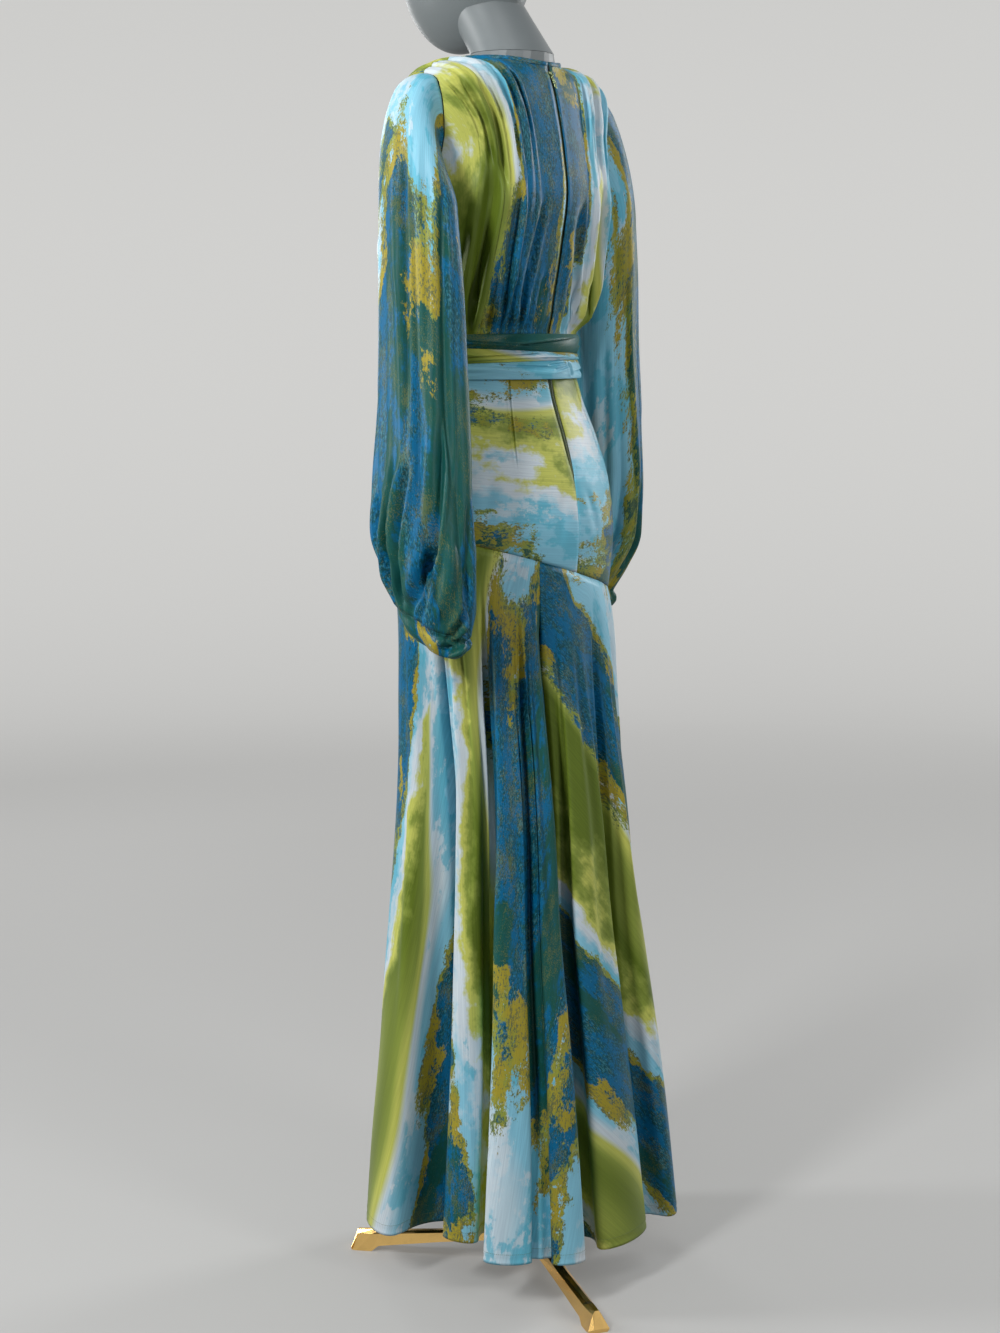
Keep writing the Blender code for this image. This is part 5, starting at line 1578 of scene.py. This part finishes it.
class GOWN_OT_zip(bpy.types.Operator):
    """Finishes the zip: woven tape, lacquered slider and pull, with fine teeth between the edges"""

    bl_idname = "gown.zip"
    bl_label = "Zip"

    def execute(self, context):
        # The tape's colour holds painted shade for the slit it lies in.
        tape = woven_tape("zip_tape_green", tuple(colours().zip_tape))
        metal = polished_metal("zip_metal", tuple(colours().zip_metal))
        frame["nodes"]["zip_tape"].data.materials[0] = tape
        frame["nodes"]["zip_slider"].data.materials[0] = metal
        self.teeth()
        self.pull(metal)
        return {"FINISHED"}

    def pull(self, metal):
        """The pull tab: a thin plate with a slot and an eye, on a barrel that turns on the slider's pin."""
        hinge = frame["joints"][0]
        pin = np.array(hinge["pos_m"])
        solid = np.array([vert.co for vert in frame["nodes"]["zip_pull"].data.vertices])
        reach = np.linalg.norm(solid - pin, axis=1)
        down = solid[reach > reach.max() - 0.0005].mean(0) - pin
        down[0] = 0
        down /= np.linalg.norm(down)
        across = np.array([1.0, 0, 0])
        out = np.cross(down, across)
        outline = [*PULL_EDGE, *((-x, y) for x, y in PULL_EDGE[::-1])]
        holes = [rounded_slot(*hole) for hole in PULL_HOLES]
        plate = cut_plate("pull_plate", [outline, *holes], *PULL_PLATE)
        shapes = []
        for points, faces in (plate, short_tube(*PULL_BARREL)):
            shapes.append(([pin + across * x + down * y + out * z for x, y, z in points], faces))
        tab = add_object("zip_pull_tab", joined_mesh("zip_pull_tab", shapes), metal, smooth=False)
        tie(tab, "zip_pull", hinge["child"])

    def teeth(self):
        """Two rows of coil teeth that meet at the centre back, from under the slider to the zip's end."""
        low = np.linspace(ZIP_TEETH[0], WAIST_SEAM, 40, endpoint=False)
        yoke = form.point(np.zeros(40), low, yoke_out(0.5))
        bodice = bodice_column(0, False, rows=120)
        line = np.concatenate([yoke, bodice[bodice[:, 2] < ZIP_TEETH[1]]])
        across = np.array([1.0, 0, 0])
        outs = np.cross(np.broadcast_to(across, line.shape), np.gradient(line, axis=0))
        outs /= np.linalg.norm(outs, axis=1, keepdims=True)
        outs *= np.sign(outs[:, 1:2])
        steps = arc_lengths(line)
        shapes = []
        for number, middle in enumerate(np.arange(0, steps[-1], ZIP_PITCH / 2)):
            out = point_along(outs, steps, middle)
            aside = across * (TOOTH_ASIDE if number % 2 else -TOOTH_ASIDE)
            spot = point_along(line, steps, middle) + ORIGIN + aside - out * ZIP_SPINE
            shapes.append(thread_stitch(spot, across, out, *TOOTH))
        nylon = coil("zip_coil", tuple(colours().zip_coil))
        tie(add_object("zip_teeth", joined_mesh("zip_teeth", shapes), nylon))


class GOWN_OT_dress_form(bpy.types.Operator):
    """Finishes the dress form: a painted shell with a smooth neck and a plain head"""

    bl_idname = "gown.dress_form"
    bl_label = "Dress form"

    def execute(self, context):
        shell = painted_shell("form_shell", tuple(colours().shell))
        frame["nodes"]["form_torso"].data.materials[0] = shell
        self.neck(shell)
        self.head(shell)
        return {"FINISHED"}

    def neck(self, shell):
        """The neck, leaning forwards from the torso to the head."""
        turn = np.radians(np.linspace(0, 360, 72, endpoint=False))
        sizes_at = {name: column_of(NECK, "height", name) for name in NeckRing._fields[1:]}
        rings = []
        for height in np.linspace(NECK[0].height, NECK[-1].height, 28):
            x, y = sizes_at["half_x"](height) * np.sin(turn), sizes_at["half_y"](height) * np.cos(turn)
            rise = height + sizes_at["lean"](height) * y
            rings.append(np.stack([x, sizes_at["centre"](height) + y, rise], -1))
        rings = np.array(rings) + ORIGIN
        rows, columns = rings.shape[:2]
        faces = loft_faces(face_corners(rows, columns), columns)
        data = make_mesh("neck_shell", rings.reshape(-1, 3).tolist(), faces)
        tie(add_object("neck_shell", data, shell), "form_neck")

    def head(self, shell):
        """The head: a plain egg that narrows to the chin in front and stays full behind."""
        mesh = bmesh.new()
        bmesh.ops.create_uvsphere(mesh, u_segments=72, v_segments=44, radius=1.0)
        for vert in mesh.verts:
            x, y, z = vert.co
            low = max(0.0, -z)
            round_part = max(1e-6, 1 - z * z) ** 0.5
            full = max(1e-6, 1 - low**2.6) ** (1 / 2.6) / max(1e-6, 1 - low**2) ** 0.5
            behind = max(0.0, y / round_part)
            y = y * (1 + (full - 1) * behind) if low < 0.99 else y
            chin = 1 - 0.22 * low**1.5
            vert.co = Vector((HEAD_HALF[0] * x * chin, HEAD_HALF[1] * (y - 0.10 * low), HEAD_HALF[2] * z))
            vert.co += Vector(HEAD_CENTRE) + Vector(ORIGIN)
        data = bpy.data.meshes.new("head_shell")
        mesh.to_mesh(data)
        mesh.free()
        tie(add_object("head_shell", data, shell), "form_head")


class GOWN_OT_stand(bpy.types.Operator):
    """Finishes the brass stand"""

    bl_idname = "gown.stand"
    bl_label = "Stand"

    def execute(self, context):
        brass = polished_metal("stand_brass", tuple(colours().brass))
        for name in ("stand_pole", "stand_hub", "stand_leg_1", "stand_leg_2", "stand_leg_3"):
            frame["nodes"][name].data.materials[0] = brass
        return {"FINISHED"}


class GOWN_OT_studio(bpy.types.Operator):
    """Makes the plain studio: a round floor that turns up into a wall, soft lights and the camera"""

    bl_idname = "gown.studio"
    bl_label = "Studio"

    def execute(self, context):
        studio = context.scene.gown_studio
        profile = [(2.0, 0.0), (FLOOR_RADIUS, 0.0)]
        for turn in np.radians(np.linspace(0, 90, 13)[1:]):
            profile.append((FLOOR_RADIUS + COVE_RADIUS * math.sin(turn), COVE_RADIUS * (1 - math.cos(turn))))
        profile.append((FLOOR_RADIUS + COVE_RADIUS, WALL_TOP))
        turns = np.radians(np.linspace(0, 360, STUDIO_ROUND, endpoint=False))
        points = [(r * math.cos(t), r * math.sin(t), z) for r, z in profile for t in turns]
        faces = loft_faces(face_corners(len(profile), STUDIO_ROUND), STUDIO_ROUND)
        faces += [(j, (j + 1) % STUDIO_ROUND, len(points)) for j in range(STUDIO_ROUND)]
        data = make_mesh("studio_floor", points + [(0.0, 0.0, 0.0)], faces)
        floor = add_object("studio_floor", data, studio_paint("studio_paint", tuple(studio.wall)))
        floor.visible_diffuse = False
        self.lights(context)
        self.camera(context, studio)
        return {"FINISHED"}

    def lights(self, context):
        """Soft lights round the gown, all turned to its middle."""
        middle = Vector((ORIGIN[0], ORIGIN[1], LIGHTS_AIM))
        for name, azimuth, distance, height, power, wide, tall in LIGHTS:
            data = bpy.data.lights.new(name, "AREA")
            data.shape = "RECTANGLE"
            data.size, data.size_y = wide, tall
            data.energy = power
            light = bpy.data.objects.new(name, data)
            context.scene.collection.objects.link(light)
            turn = math.radians(azimuth)
            aside = Vector((distance * math.sin(turn), distance * math.cos(turn), height - middle.z))
            light.location = middle + aside
            light.rotation_euler = (middle - light.location).to_track_quat("-Z", "Y").to_euler()
        world = context.scene.world or bpy.data.worlds.new("studio_air")
        context.scene.world = world
        world.use_nodes = True
        air = world.node_tree.nodes["Background"].inputs
        air["Color"].default_value = (0.95, 0.97, 1.0, 1)
        air["Strength"].default_value = 0.14
        context.scene.view_settings.view_transform = "Standard"

    def camera(self, context, studio):
        """The camera, turned towards the gown's upright axis."""
        data = bpy.data.cameras.new("camera")
        data.lens = studio.lens
        data.sensor_width = 36
        data.sensor_fit = "AUTO"
        camera = bpy.data.objects.new("camera", data)
        context.scene.collection.objects.link(camera)
        turn, down = studio.azimuth, studio.pitch
        spot = Vector((studio.distance * math.sin(turn), studio.distance * math.cos(turn), studio.height))
        camera.location = spot + Vector(ORIGIN)
        look = Vector((-math.sin(turn) * math.cos(down), -math.cos(turn) * math.cos(down), -math.sin(down)))
        camera.rotation_euler = look.to_track_quat("-Z", "Y").to_euler()
        context.scene.camera = camera


class GOWN_PT_sidebar(bpy.types.Panel):
    """Lists the gown's pieces, sizes and colours"""

    bl_idname = "GOWN_PT_sidebar"
    bl_label = "Evening gown"
    bl_space_type = "VIEW_3D"
    bl_region_type = "UI"
    bl_category = "Gown"

    def draw(self, context):
        layout = self.layout
        for step in STEPS:
            layout.operator(step.bl_idname)
        for group in (context.scene.gown_sizes, context.scene.gown_colours, context.scene.gown_studio):
            column = layout.column(align=True)
            for name in group.__annotations__:
                column.prop(group, name)


STEPS = (
    GOWN_OT_studio,
    GOWN_OT_bodice,
    GOWN_OT_neck_binding,
    GOWN_OT_sleeves,
    GOWN_OT_sash,
    GOWN_OT_yoke,
    GOWN_OT_skirt,
    GOWN_OT_zip,
    GOWN_OT_dress_form,
    GOWN_OT_stand,
)
CLASSES = (GownColours, GownSizes, StudioSettings, *STEPS, GOWN_PT_sidebar)


def register():
    for cls in CLASSES:
        bpy.utils.register_class(cls)
    bpy.types.Scene.gown_colours = PointerProperty(type=GownColours)
    bpy.types.Scene.gown_sizes = PointerProperty(type=GownSizes)
    bpy.types.Scene.gown_studio = PointerProperty(type=StudioSettings)


def unregister():
    del bpy.types.Scene.gown_studio
    del bpy.types.Scene.gown_sizes
    del bpy.types.Scene.gown_colours
    for cls in reversed(CLASSES):
        bpy.utils.unregister_class(cls)


def main():
    register()
    for step in STEPS:
        group, name = step.bl_idname.split(".")
        getattr(getattr(bpy.ops, group), name)()


if __name__ == "__main__":
    main()
